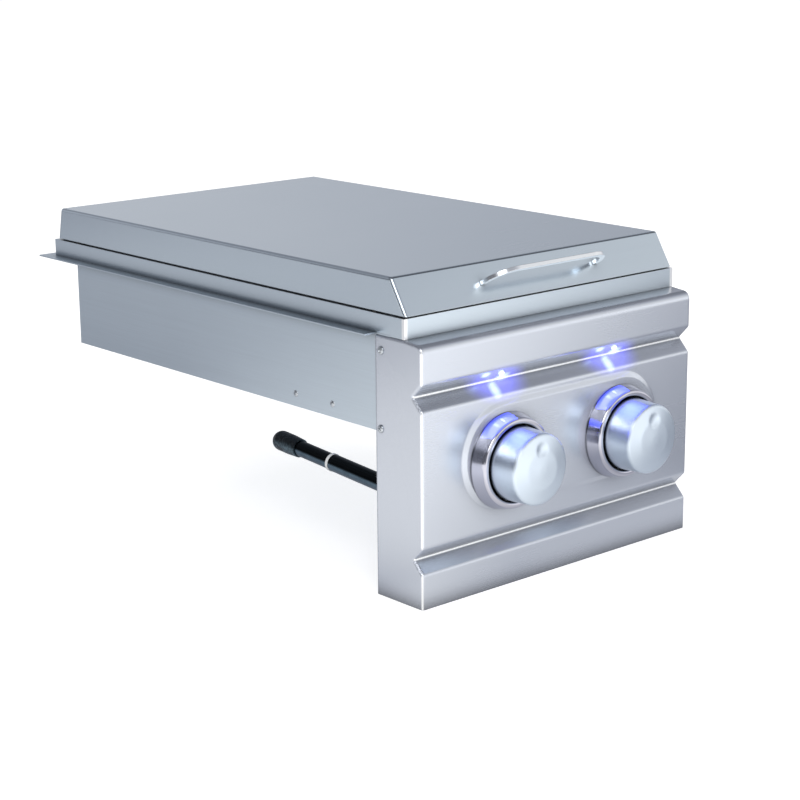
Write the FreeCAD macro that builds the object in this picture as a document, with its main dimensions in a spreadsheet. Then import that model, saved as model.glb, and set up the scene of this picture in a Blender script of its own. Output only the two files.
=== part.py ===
"""Built-in double side burner, a drop-in unit for an outdoor kitchen counter.

Lengths are millimetres. X runs to the right along the front panel, Y runs from the front to the
back and Z points up. While the pieces are drawn, y = 0 is the front face of the control panel and
z = 0 is the plane of the counter top. The finished part is moved back along Y by `SEAT_Y`, so that
its origin is the middle of the rear strip of the counter flange, on its underside.
"""
import FreeCAD, Part
import math
import os

import Sketcher

from FreeCAD import Vector

DOC = FreeCAD.newDocument("side_burner")

# Driving dimensions, each a cell of the sheet with its name as the alias.
DIMENSIONS = {
    # Sheet metal and running clearances
    "sheet": 1.2,
    "fit_clearance": 0.05,
    "running_clearance": 0.06,
    "loose_clearance": 0.3,
    # Control panel and its folded sides
    "panel_width": 330.0,
    "panel_drop": 227.5,
    "lower_band": 30.4,
    "upper_band": 32.3,
    "groove_half": 11.6,
    "groove_depth": 11.1,
    "nose_drop": 2.0,
    "nose_bend": 7.5,
    "housing_depth": 57.0,
    "bottom_hem": 14.0,
    "band_bend": 3.5,
    "crease_bend": 1.4,
    "corner_bend": 2.2,
    # Raised island round the two knobs
    "island_spacing": 146.0,
    "island_radius": 47.5,
    "island_rise": 2.0,
    "island_ramp": 4.5,
    "island_lift": 5.5,
    # Knobs
    "knob_spacing": 139.2,
    "knob_drop": 115.0,
    "knob_radius": 32.6,
    "knob_front_radius": 31.0,
    "knob_length": 31.0,
    "knob_stand_off": 11.0,
    "knob_crown": 3.4,
    "knob_shoulder_radius": 17.0,
    "knob_shoulder_rise": 2.6,
    "knob_tip_radius": 3.4,
    "knob_wall": 2.2,
    "knob_hub_radius": 7.0,
    "knob_face_thickness": 4.0,
    "knob_edge_round": 2.0,
    "knob_gap": 0.9,
    "knob_push": 3.0,
    "dimple_radius": 7.0,
    "dimple_depth": 1.6,
    "dimple_rise": 19.5,
    # Bezels
    "bezel_radius": 42.5,
    "bezel_height": 14.0,
    "bezel_flare": 3.6,
    "bezel_edge": 1.2,
    "bezel_sheet": 1.8,
    "bezel_roll": 2.6,
    "bezel_bore_depth": 10.0,
    # Valves
    "stem_radius": 4.0,
    "stem_flat": 2.8,
    "stem_socket": 12.0,
    "stem_rest_gap": 1.0,
    "stem_hole_clearance": 2.0,
    "valve_front": 19.5,
    "valve_radius": 11.0,
    "valve_length": 33.0,
    "valve_rear_wall": 8.5,
    "valve_saddle_radius": 6.0,
    "valve_outlet_length": 5.0,
    "valve_outlet_wall": 2.0,
    "bonnet_thickness": 3.0,
    "bonnet_nose_radius": 7.5,
    "plug_radius": 7.0,
    "plug_length": 13.5,
    "plug_socket": 10.0,
    "spark_stub_radius": 3.2,
    "spark_stub_length": 4.0,
    # Lamps in the upper groove
    "lamp_radius": 2.6,
    "lamp_proud": 1.2,
    "lamp_length": 7.2,
    "lamp_collar": 4.4,
    "lamp_collar_length": 5.5,
    "connector_length": 16.0,
    "connector_depth": 10.0,
    "connector_height": 16.0,
    "lamp_lead_run": 36.0,
    "lamp_lead_radius": 1.1,
    # Burner box, with the flange that rests on the counter
    "box_front": 40.0,
    "box_rear_inset": 39.0,
    "box_depth": 83.0,
    "flange_reach": 12.0,
    "flange_gap": 0.5,
    # Screws and rivets through the sides
    "screw_y": 50.0,
    "upper_screw_drop": 12.9,
    "lower_screw_rise": 2.8,
    "screw_lower_shift": 1.0,
    "screw_head_radius": 3.4,
    "screw_head_height": 1.8,
    "screw_radius": 1.6,
    "screw_length": 7.0,
    "rivet_spacing": 50.3,
    "rivet_rise": 1.2,
    "rivet_head_radius": 3.0,
    "rivet_head_height": 1.0,
    "rivet_radius": 1.6,
    # Raised frame under the lid
    "rim_front": 21.6,
    "rim_length": 529.4,
    "rim_side_inset": 1.0,
    "rim_height": 17.4,
    "rim_lip": 12.0,
    # Burner pan
    "pan_depth": 50.0,
    "pan_wall_inset": 12.5,
    "pan_deck_inset": 6.0,
    "pan_margin": 5.0,
    # Burners
    "front_burner_y": 152.0,
    "rear_burner_y": 390.0,
    "burner_radius": 42.0,
    "burner_wall": 4.0,
    "burner_floor": 3.0,
    "bowl_radius": 36.0,
    "bowl_depth": 40.0,
    "bowl_wall": 3.0,
    "bowl_flange": 8.0,
    "throat_radius": 22.0,
    "throat_rise": 6.0,
    "ring_height": 14.0,
    "port_radius": 1.1,
    "port_drop": 4.5,
    "cap_thickness": 7.0,
    "cap_overhang": 2.0,
    "cap_top_radius": 30.0,
    "cap_spigot": 4.0,
    "mixer_radius": 12.0,
    "mixer_wall": 1.6,
    "mixer_length": 16.0,
    "gas_level": 60.0,
    "shutter_wall": 1.2,
    "shutter_length": 12.5,
    "shutter_mouth": 6.5,
    "shutter_window": 8.0,
    "jet_radius": 5.6,
    "jet_length": 12.0,
    "jet_tip_radius": 3.6,
    "jet_tip_length": 6.0,
    "jet_bore": 1.5,
    "jet_gap": 14.0,
    "jet_socket": 4.0,
    # Supports under the burners
    "support_width": 60.0,
    "support_shift": 11.0,
    "support_tab": 12.0,
    # Igniters and their leads
    "igniter_offset": 50.0,
    "igniter_radius": 3.5,
    "igniter_top_drop": 18.0,
    "igniter_length": 32.0,
    "igniter_flange": 6.5,
    "electrode_radius": 0.9,
    "electrode_rise": 4.0,
    "electrode_reach": 4.5,
    "electrode_bend": 1.5,
    "igniter_flange_thickness": 2.0,
    "lead_radius": 1.3,
    "lead_bend": 8.0,
    "lead_hole_clearance": 1.2,
    # Grates
    "grate_rod": 3.5,
    "grate_cross_rod": 3.2,
    "grate_finger_rod": 3.0,
    "grate_corner": 10.0,
    "grate_gap": 6.0,
    "grate_front_inset": 22.4,
    "grate_rear_inset": 45.0,
    "grate_side_inset": 9.5,
    # Gas rail and feed tubes
    "rail_radius": 9.0,
    "rail_wall": 2.5,
    "rail_y": 40.0,
    "rail_level": 142.0,
    "rail_reach": 98.0,
    "rail_plug_length": 6.0,
    "rail_plug_head": 6.0,
    "bracket_spacing": 76.0,
    "bracket_width": 14.0,
    "bracket_height": 28.0,
    "bracket_sheet": 2.0,
    "feed_radius": 4.0,
    "feed_bend": 12.0,
    "riser_y": 72.0,
    "feed_hole_clearance": 2.0,
    # Supply pipe and its cap
    "inlet_inset": 25.0,
    "inlet_tilt": 4.1,
    "elbow_radius": 11.5,
    "elbow_arm": 13.0,
    "pipe_radius": 7.7,
    "pipe_wall": 2.2,
    "pipe_length": 91.3,
    "nipple_radius": 7.2,
    "nipple_wall": 2.0,
    "nipple_length": 70.0,
    "washer_thickness": 3.0,
    "washer_lip": 0.4,
    "cap_radius": 9.2,
    "cap_mouth_radius": 8.5,
    "cap_taper": 12.0,
    "cap_barrel": 14.0,
    "cap_end": 9.2,
    # Lid
    "lid_side_inset": 1.4,
    "lid_gap": 1.4,
    "lid_height": 30.6,
    "lid_front_lean": 18.7,
    "lid_rear_lean": 6.5,
    "lid_rear_inset": 4.0,
    "lid_bend": 3.0,
    # Grip on the lid
    "grip_half": 71.0,
    "grip_reach": 26.8,
    "grip_bend": 25.0,
    "grip_level": 15.2,
    "grip_width": 5.2,
    "grip_thickness": 3.4,
    # Hinges and bumpers
    "hinge_spacing": 230.0,
    "hinge_length": 42.0,
    "hinge_gap": 0.3,
    "hinge_stand_off": 4.5,
    "hinge_rise": 1.6,
    "hinge_pin": 1.75,
    "knuckle_radius": 3.4,
    "hinge_leaf": 1.5,
    "fixed_leaf_height": 16.0,
    "moving_leaf_height": 21.0,
    "bumper_radius": 2.2,
    "bumper_inset": 2.7,
    "bumper_end_inset": 40.0,
    "bumper_clearance": 0.1,
}

# How far cutting shapes run past the faces that they open.
OVERRUN = 5.0

# How near two coordinates have to be to count as the same place.
SAME = 0.05

# The sketcher's numbers for a line's two ends and for the sketch's own origin.
START_INDEX = 1
END_INDEX = 2
ORIGIN = (-1, 1)

# Angles in degrees.
QUARTER_TURN = 90
FULL_TURN = 360

sizes = DOC.addObject("Spreadsheet::Sheet", "sizes")
for row, (alias, number) in enumerate(DIMENSIONS.items(), start=1):
    sizes.set(f"A{row}", alias)
    sizes.set(f"B{row}", str(number))
    sizes.setAlias(f"B{row}", alias)
DOC.recompute()


class Size:
    """A length together with the expression that gives it from the sheet."""

    def __init__(self, value, text):
        self.value = float(value)
        self.text = text

    def __add__(self, other):
        other = as_size(other)
        return Size(self.value + other.value, f"({self.text} + {other.text})")

    def __sub__(self, other):
        other = as_size(other)
        return Size(self.value - other.value, f"({self.text} - {other.text})")

    def __mul__(self, other):
        other = as_size(other)
        return Size(self.value * other.value, f"({self.text} * {other.text})")

    def __truediv__(self, other):
        other = as_size(other)
        return Size(self.value / other.value, f"({self.text} / {other.text})")

    def __neg__(self):
        return Size(-self.value, f"(0 - {self.text})")

    def __rsub__(self, other):
        return as_size(other) - self

    __radd__ = __add__
    __rmul__ = __mul__


def as_size(number):
    """Give a plain number the same face as a sheet size."""
    if isinstance(number, Size):
        return number
    return Size(number, repr(float(number)))


def dim(alias):
    """A size straight from the sheet."""
    return Size(float(sizes.get(alias)), f"sizes.{alias}")


def root(size):
    """Square root of a size."""
    return Size(math.sqrt(size.value), f"sqrt({size.text})")


def cosine(angle):
    """Cosine of an angle that the sheet gives in degrees."""
    return Size(math.cos(math.radians(angle.value)), f"cos({angle.text} * 1deg)")


def sine(angle):
    """Sine of an angle that the sheet gives in degrees."""
    return Size(math.sin(math.radians(angle.value)), f"sin({angle.text} * 1deg)")


# Levels and places that several pieces share.
SHEET = dim("sheet")
HALF_WIDTH = dim("panel_width") / 2
BOX_HALF = HALF_WIDTH - SHEET
BOX_INNER_HALF = BOX_HALF - SHEET
BOX_FLOOR = SHEET - dim("box_depth")
RIM_HALF = HALF_WIDTH - dim("rim_side_inset")
RIM_REAR = dim("rim_front") + dim("rim_length")
RIM_TOP = dim("rim_height")
BOX_REAR = RIM_REAR - dim("box_rear_inset")
FLANGE_HALF = RIM_HALF + dim("flange_reach")
FLANGE_REAR = RIM_REAR + dim("flange_reach")
FLANGE_FRONT = dim("housing_depth") + dim("flange_gap")
SEAT_Y = (BOX_REAR + FLANGE_REAR) / 2
KNOB_X = dim("knob_spacing") / 2
KNOB_Z = -dim("knob_drop")
GAS_Z = -dim("gas_level")
RAIL_Z = -dim("rail_level")
INLET_X = dim("inlet_inset") - HALF_WIDTH
PAN_FLOOR = RIM_TOP - dim("pan_depth")
BOWL_FLOOR = PAN_FLOOR - dim("bowl_depth")
RIVET_Z = BOWL_FLOOR + dim("rivet_rise")
DECK_TOP = RIM_TOP + SHEET
LID_WIDTH = (RIM_HALF - dim("lid_side_inset")) * 2
LID_BASE = RIM_TOP + dim("lid_gap")
LID_TOP = LID_BASE + dim("lid_height")
LID_REAR = RIM_REAR - dim("lid_rear_inset")
HINGE_Y = RIM_REAR + dim("hinge_stand_off")
HINGE_Z = RIM_TOP + dim("hinge_rise")

# Heights of the folds in the control panel, from its foot up.
PANEL_FOOT = -dim("panel_drop")
FOLD_1 = PANEL_FOOT + dim("lower_band")
CREASE_LOW = FOLD_1 + dim("groove_half")
FOLD_2 = CREASE_LOW + dim("groove_half")
PANEL_HEAD = -dim("nose_drop")
FOLD_4 = PANEL_HEAD - dim("upper_band")
CREASE_HIGH = FOLD_4 - dim("groove_half")
FOLD_3 = CREASE_HIGH - dim("groove_half")
GROOVE_SLOPE = root(dim("groove_depth") * dim("groove_depth") + dim("groove_half") * dim("groove_half"))

# The valves, front to back.
VALVE_REAR = dim("valve_front") + dim("valve_length")
CHAMBER_REAR = VALVE_REAR - dim("valve_rear_wall")
PLUG_FRONT = CHAMBER_REAR - dim("plug_length")
STEM_REAR = PLUG_FRONT + dim("plug_socket") - dim("knob_push") - dim("stem_rest_gap")
KNOB_FRONT = dim("knob_stand_off") + dim("knob_length")

SIDES = (("left", -1), ("right", 1))
BURNERS = (("front", dim("front_burner_y"), -1), ("rear", dim("rear_burner_y"), 1))
PORT_COUNT = 30
GRATE_FINGERS = 6

pieces = {}


def keep(label, thing):
    """Name a finished piece, which is written to its own file."""
    thing.Label = label
    pieces[label] = thing
    return thing


def bind(thing, prop, size):
    """Drive one property of an object by a size."""
    size = as_size(size)
    if "." not in prop:
        setattr(thing, prop, size.value)
    thing.setExpression(prop, size.text)


def place(thing, x, y, z):
    """Bind an object's position, given from the panel's front face."""
    bind(thing, "Placement.Base.x", x)
    bind(thing, "Placement.Base.y", as_size(y) - SEAT_Y)
    bind(thing, "Placement.Base.z", z)


def box(name, x, y, z, length, depth, height):
    """A block from its lowest corner."""
    block = DOC.addObject("Part::Box", name)
    bind(block, "Length", length)
    bind(block, "Width", depth)
    bind(block, "Height", height)
    place(block, x, y, z)
    return block


def middle_box(name, half, y, z, depth, height):
    """A block that lies evenly about the middle plane."""
    return box(name, -half, y, z, half * 2, depth, height)


DIRECTIONS = {
    "X": FreeCAD.Rotation(Vector(0, 0, 1), Vector(1, 0, 0)),
    "Y": FreeCAD.Rotation(Vector(0, 0, 1), Vector(0, 1, 0)),
    "Z": FreeCAD.Rotation(),
}


def rod(name, direction, x, y, z, radius, length):
    """A cylinder along an axis of the part, from the centre of its first face."""
    bar = DOC.addObject("Part::Cylinder", name)
    bind(bar, "Radius", radius)
    bind(bar, "Height", length)
    bar.Placement = FreeCAD.Placement(Vector(0, 0, 0), DIRECTIONS[direction])
    place(bar, x, y, z)
    return bar


def cone(name, direction, x, y, z, radius, end_radius, length):
    """A truncated cone along an axis of the part."""
    taper = DOC.addObject("Part::Cone", name)
    bind(taper, "Radius1", radius)
    bind(taper, "Radius2", end_radius)
    bind(taper, "Height", length)
    taper.Placement = FreeCAD.Placement(Vector(0, 0, 0), DIRECTIONS[direction])
    place(taper, x, y, z)
    return taper


def ball(name, x, y, z, radius):
    """A sphere about a point."""
    sphere = DOC.addObject("Part::Sphere", name)
    bind(sphere, "Radius", radius)
    place(sphere, x, y, z)
    return sphere


def fuse(name, *shapes):
    """Join shapes to one solid."""
    joined = DOC.addObject("Part::MultiFuse", name)
    joined.Shapes = list(shapes)
    joined.Refine = True
    return joined


def cut(name, base, *tools):
    """Take one or more shapes away from a base."""
    result = DOC.addObject("Part::Cut", name)
    result.Base = base
    result.Tool = tools[0] if len(tools) == 1 else fuse(name + "_tools", *tools)
    result.Refine = True
    return result


def group(name, *solids):
    """Separate like solids that share one piece."""
    together = DOC.addObject("Part::Compound", name)
    together.Links = list(solids)
    return together


def side_rod(name, sign, face, inward, z, radius, length, y):
    """A rod along X on one side of the part, from a face outwards, or inwards when asked."""
    outer = face if inward else face + length
    start = face - length if inward else face
    return rod(name, "X", start if sign > 0 else -outer, y, z, radius, length)


def through_rod(name, y, z, radius):
    """A cutting rod across the part's whole width."""
    half = HALF_WIDTH + OVERRUN
    return rod(name, "X", -half, y, z, radius, half * 2)


def new_body(name, x=0, z=0):
    """A body whose local axes are those of the panel's front face."""
    body = DOC.addObject("PartDesign::Body", name)
    place(body, x, 0, z)
    return body


def origin_plane(body, role):
    """One of the three planes of a body's own origin."""
    return next(plane for plane in body.Origin.OriginFeatures if plane.Role == role)


def outline_sketch(body, name, corners):
    """A closed outline in the side view, of straight lines through bound corners."""
    sketch = body.newObject("Sketcher::SketchObject", name)
    sketch.AttachmentSupport = [(origin_plane(body, "YZ_Plane"), "")]
    sketch.MapMode = "FlatFace"
    places = [(as_size(y), as_size(z)) for y, z in corners]
    points = [Vector(y.value, z.value, 0) for y, z in places]
    lines = []
    for start, end in zip(points, points[1:] + points[:1]):
        lines.append(sketch.addGeometry(Part.LineSegment(start, end), False))
    for line, follower in zip(lines, lines[1:] + lines[:1]):
        sketch.addConstraint(Sketcher.Constraint("Coincident", line, END_INDEX, follower, START_INDEX))
    for line, (y, z) in zip(lines, places):
        hold_start(sketch, line, "DistanceX", y)
        hold_start(sketch, line, "DistanceY", z)
    return sketch


def hold_start(sketch, line, kind, size):
    """Hold the start of a sketch line at a signed distance from the origin."""
    index = sketch.addConstraint(Sketcher.Constraint(kind, *ORIGIN, line, START_INDEX, size.value))
    sketch.setExpression(f"Constraints[{index}]", size.text)


def across(body, kind, sketch, name, length):
    """A pad or a pocket that runs evenly to both sides of the middle plane."""
    feature = body.newObject(f"PartDesign::{kind}", name)
    feature.Profile = sketch
    feature.SideType = "Symmetric"
    bind(feature, "Length", length)
    return feature


def turned(body, sketch, name):
    """A full turn of an outline about the body's Y axis."""
    feature = body.newObject("PartDesign::Revolution", name)
    feature.Profile = sketch
    feature.ReferenceAxis = (sketch, ["H_Axis"])
    feature.Angle = FULL_TURN
    return feature


def round_edges(body, base, name, radius, wanted):
    """Fillet those edges of a feature that pass a test."""
    DOC.recompute()
    edges = [f"Edge{i}" for i, edge in enumerate(base.Shape.Edges, start=1) if wanted(edge)]
    fillet = body.newObject("PartDesign::Fillet", name)
    fillet.Base = (base, edges)
    bind(fillet, "Radius", radius)
    DOC.recompute()
    return fillet


def middle_of(edge):
    """The point halfway along an edge."""
    return edge.valueAt((edge.FirstParameter + edge.LastParameter) / 2)


def on_line(edge, y, z):
    """True for an edge along X at one place of the side view."""
    ends = [vertex.Point for vertex in edge.Vertexes]
    if len(ends) != 2 or abs(ends[0].x - ends[1].x) < SAME:
        return False
    return all(abs(end.y - y.value) < SAME and abs(end.z - z.value) < SAME for end in ends)


def has_radius(edge, *sizes_wanted):
    """True for a round edge with one of the given radii."""
    if not hasattr(edge.Curve, "Radius"):
        return False
    return any(abs(edge.Curve.Radius - size.value) < SAME for size in sizes_wanted)


def made_piece(label, shape):
    """A piece made with shape functions, set down in the part's frame."""
    feature = DOC.addObject("Part::Feature", label)
    feature.Shape = shape
    bind(feature, "Placement.Base.y", -SEAT_Y)
    return feature


def build_control_panel():
    """Front panel with two pressed grooves, a raised island, folded sides, a top return and a hem."""
    depth = dim("groove_depth")
    half = dim("groove_half")
    body = new_body("panel_body")
    outline = outline_sketch(body, "panel_outline", [
        (0, PANEL_FOOT), (dim("housing_depth"), PANEL_FOOT), (dim("housing_depth"), 0),
        (dim("rim_front"), 0), (0, PANEL_HEAD), (0, FOLD_4), (depth, CREASE_HIGH), (0, FOLD_3),
        (0, FOLD_2), (depth, CREASE_LOW), (0, FOLD_1),
    ])
    block = across(body, "Pad", outline, "panel_block", dim("panel_width"))
    bends = (FOLD_4, FOLD_3, FOLD_2, FOLD_1)
    bent = round_edges(body, block, "panel_bends", dim("band_bend"),
                       lambda edge: any(on_line(edge, as_size(0), level) for level in bends))
    creases = (CREASE_HIGH, CREASE_LOW)
    round_edges(body, bent, "panel_creases", dim("crease_bend"),
                lambda edge: any(on_line(edge, depth, level) for level in creases))

    # The hollow follows the outside at the sheet's thickness.
    bend_shift = SHEET * (GROOVE_SLOPE - half) / depth
    crease = depth + SHEET * GROOVE_SLOPE / half
    behind = dim("housing_depth") + OVERRUN
    inside = outline_sketch(body, "panel_inside", [
        (dim("bottom_hem"), PANEL_FOOT - OVERRUN), (dim("bottom_hem"), PANEL_FOOT + SHEET),
        (SHEET, PANEL_FOOT + SHEET), (SHEET, FOLD_1 - bend_shift), (crease, CREASE_LOW),
        (SHEET, FOLD_2 + bend_shift), (SHEET, FOLD_3 - bend_shift), (crease, CREASE_HIGH),
        (SHEET, FOLD_4 + bend_shift), (SHEET, PANEL_HEAD - SHEET), (dim("rim_front"), -SHEET),
        (dim("box_front"), -SHEET), (dim("box_front"), OVERRUN), (behind, OVERRUN),
        (behind, PANEL_FOOT - OVERRUN),
    ])
    hollow = across(body, "Pocket", inside, "panel_hollow", BOX_HALF * 2)
    lined = round_edges(body, hollow, "panel_nose_inside", dim("nose_bend") - SHEET,
                        lambda edge: on_line(edge, SHEET, PANEL_HEAD - SHEET))
    nosed = round_edges(body, lined, "panel_nose", dim("nose_bend"),
                        lambda edge: on_line(edge, as_size(0), PANEL_HEAD))
    round_edges(body, nosed, "panel_corners", dim("corner_bend"), is_panel_corner)
    openings = []
    for side, sign in SIDES:
        x = KNOB_X * sign
        openings.append(rod(f"stem_hole_{side}", "Y", x, -OVERRUN, KNOB_Z,
                            dim("stem_radius") + dim("stem_hole_clearance"), SHEET + OVERRUN * 2))
        openings.append(groove_rod(f"lamp_hole_{side}", x, -dim("lamp_proud") * 2,
                                   dim("lamp_radius") + dim("fit_clearance"), dim("lamp_length")))
    for name, y, z in screw_places():
        openings.append(through_rod(f"panel_{name}_hole", y, z, dim("screw_radius") + dim("fit_clearance")))
    pressed = fuse("panel_pressed", body, *island_shapes())
    keep("control_panel", cut("control_panel", pressed, *openings))


def is_panel_corner(edge):
    """True for the edges where the panel's front folds back to its sides."""
    point = middle_of(edge)
    at_side = abs(abs(point.x) - HALF_WIDTH.value) < SAME
    in_front = point.y < dim("rim_front").value - SAME
    return at_side and in_front and point.z > PANEL_FOOT.value + SAME


def island_shapes():
    """The raised island: two sloped discs and a sloped bar between them."""
    level = KNOB_Z + dim("island_lift")
    rise = dim("island_rise")
    foot = dim("island_radius")
    crest = foot - dim("island_ramp")
    half = dim("island_spacing") / 2
    shapes = [cone(f"island_{side}", "Y", half * sign, -rise, level, crest, foot, rise)
              for side, sign in SIDES]
    bar = DOC.addObject("Part::Wedge", "island_bar")
    for prop, size in (("Xmin", -foot), ("Xmax", foot), ("X2min", -crest), ("X2max", crest),
                       ("Ymin", 0), ("Ymax", rise), ("Zmin", 0), ("Z2min", 0),
                       ("Zmax", half * 2), ("Z2max", half * 2)):
        bind(bar, prop, size)
    bar.Placement = FreeCAD.Placement(
        Vector(0, 0, 0), FreeCAD.Rotation(Vector(0, 0, -1), Vector(0, -1, 0), Vector(-1, 0, 0), "ZYX"))
    place(bar, half, 0, level)
    return shapes + [bar]


def screw_places():
    """The side screws, the upper one under the counter and the lower one at the box's foot."""
    return (("upper_screw", dim("screw_y"), -dim("upper_screw_drop")),
            ("lower_screw", dim("screw_y") + dim("screw_lower_shift"),
             dim("lower_screw_rise") - dim("box_depth")))


def groove_rod(name, x, start, radius, length):
    """A rod square to the upper groove's overhanging face, from a depth below that face."""
    bar = DOC.addObject("Part::Cylinder", name)
    bind(bar, "Radius", radius)
    bind(bar, "Height", length)
    lean = math.degrees(math.atan2(dim("groove_half").value, dim("groove_depth").value))
    bar.Placement = FreeCAD.Placement(Vector(0, 0, 0), FreeCAD.Rotation(Vector(-1, 0, 0), lean))
    bar.setExpression("Placement.Rotation.Angle", "atan2(sizes.groove_half; sizes.groove_depth)")
    place(bar, x, *groove_point(as_size(start)))
    return bar


def build_lamps():
    """Two small lamps in the upper groove: a clear lens, a holder behind it and their wiring."""
    for side, sign in SIDES:
        x = KNOB_X * sign
        keep(f"lamp_lens_{side}", groove_rod(f"lens_barrel_{side}", x, -dim("lamp_proud"),
                                             dim("lamp_radius"), dim("lamp_length")))
        collar = groove_rod(f"lamp_collar_{side}", x, SHEET, dim("lamp_collar"), dim("lamp_collar_length"))
        seat = groove_rod(f"lamp_seat_{side}", x, 0, dim("lamp_radius"),
                          dim("lamp_length") - dim("lamp_proud"))
        keep(f"lamp_holder_{side}", cut(f"lamp_holder_{side}", collar, seat))
    half = dim("connector_length") / 2
    connector = middle_box("lamp_connector", half, lamp_lead_y() - dim("connector_depth") / 2,
                           -SHEET - dim("connector_height"), dim("connector_depth"), dim("connector_height"))
    leads = [made_piece(f"lamp_lead_{side}", lamp_lead(sign)) for side, sign in SIDES]
    keep("lamp_wiring", group("lamp_wiring", connector, *leads))


def groove_point(distance):
    """A point on a lamp's axis, at a distance below the groove's face, in the side view."""
    inward_y = dim("groove_half") / GROOVE_SLOPE
    inward_z = dim("groove_depth") / GROOVE_SLOPE
    return (dim("groove_depth") / 2 + inward_y * distance,
            CREASE_HIGH + dim("groove_half") / 2 + inward_z * distance)


def lamp_lead_y():
    """Where the lamp leads turn towards the connector."""
    return groove_point(dim("lamp_lead_run"))[0]


def lamp_lead(sign):
    """The lead from a lamp's holder up to the connector under the panel's top return."""
    start_y, start_z = groove_point(SHEET + dim("lamp_collar_length"))
    corner_y, corner_z = groove_point(dim("lamp_lead_run"))
    x = (KNOB_X * sign).value
    end = dim("connector_length").value / 2 * sign
    points = [Vector(x, start_y.value, start_z.value), Vector(x, corner_y.value, corner_z.value),
              Vector(end, corner_y.value, corner_z.value)]
    return swept_tube(points, dim("lamp_lead_radius"), dim("lead_bend"))


def build_bezels():
    """Rounded ring round each knob, hollow behind, seated on the island."""
    seat = dim("island_rise")
    foot = dim("bezel_radius")
    crest = foot - dim("bezel_flare")
    front = seat + dim("bezel_height")
    bore = dim("knob_radius") + dim("knob_gap")
    skin = dim("bezel_sheet")
    for side, sign in SIDES:
        body = new_body(f"bezel_{side}_body", KNOB_X * sign, KNOB_Z)
        section = outline_sketch(body, f"bezel_{side}_section", [
            (-seat, foot), (-(seat + dim("bezel_edge")), foot), (-front, crest), (-front, bore),
            (-(front - dim("bezel_bore_depth")), bore), (-(front - dim("bezel_bore_depth")), bore + skin / 2),
            (-(front - skin), bore + skin), (-(front - skin), crest - skin), (-seat, foot - skin),
        ])
        ring = turned(body, section, f"bezel_{side}_ring")

        def is_roll(edge):
            return has_radius(edge, crest, bore) and abs(middle_of(edge).y + front.value) < SAME

        round_edges(body, ring, f"bezel_{side}_roll", dim("bezel_roll"), is_roll)
        keep(f"bezel_{side}", body)


def build_knobs():
    """Tapered knob with a crowned face, a finger dimple and a hub on the valve stem."""
    back = dim("knob_stand_off")
    face = dim("knob_front_radius")
    shoulder = dim("knob_shoulder_radius")
    shoulder_rise = dim("knob_shoulder_rise")
    tip = KNOB_FRONT + dim("knob_crown")
    hub = dim("knob_hub_radius")
    inner_face = KNOB_FRONT - dim("knob_face_thickness")
    wall = dim("knob_wall")
    radius = dim("dimple_radius")
    depth = dim("dimple_depth")
    dimple_radius = (radius * radius + depth * depth) / (depth * 2)
    for side, sign in SIDES:
        body = new_body(f"knob_{side}_body", KNOB_X * sign, KNOB_Z)
        section = outline_sketch(body, f"knob_{side}_section", [
            (-back, dim("knob_radius")), (-KNOB_FRONT, face), (-(KNOB_FRONT + shoulder_rise), shoulder),
            (-tip, dim("knob_tip_radius")), (-tip, 0), (-back, 0), (-back, hub),
            (-inner_face, hub), (-inner_face, face - wall), (-back, dim("knob_radius") - wall),
        ])
        turning = turned(body, section, f"knob_{side}_turned")
        round_edges(body, turning, f"knob_{side}_rounding", dim("knob_edge_round"),
                    lambda edge: has_radius(edge, face, shoulder))
        surface = KNOB_FRONT + shoulder_rise * (face - dim("dimple_rise")) / (face - shoulder)
        dimple = ball(f"dimple_{side}", KNOB_X * sign, -(surface + dimple_radius - depth),
                      KNOB_Z + dim("dimple_rise"), dimple_radius)
        socket = flat_rod(f"knob_socket_{side}", KNOB_X * sign, stem_front(), STEM_REAR - stem_front(),
                          dim("fit_clearance"))
        keep(f"knob_{side}", cut(f"knob_{side}", body, dimple, socket))


def stem_front():
    """Where the valve stem ends inside the knob."""
    return -(dim("knob_stand_off") + dim("stem_socket"))


def flat_rod(name, x, start, length, clearance):
    """A stem with a flat on top, or the hole for it with a clearance."""
    radius = dim("stem_radius") + clearance
    bar = rod(f"{name}_round", "Y", x, start, KNOB_Z, radius, length)
    flat = box(f"{name}_flat", as_size(x) - radius, as_size(start) - OVERRUN,
               KNOB_Z + dim("stem_flat") + clearance, radius * 2, as_size(length) + OVERRUN * 2, radius)
    return cut(name, bar, flat)


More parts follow.
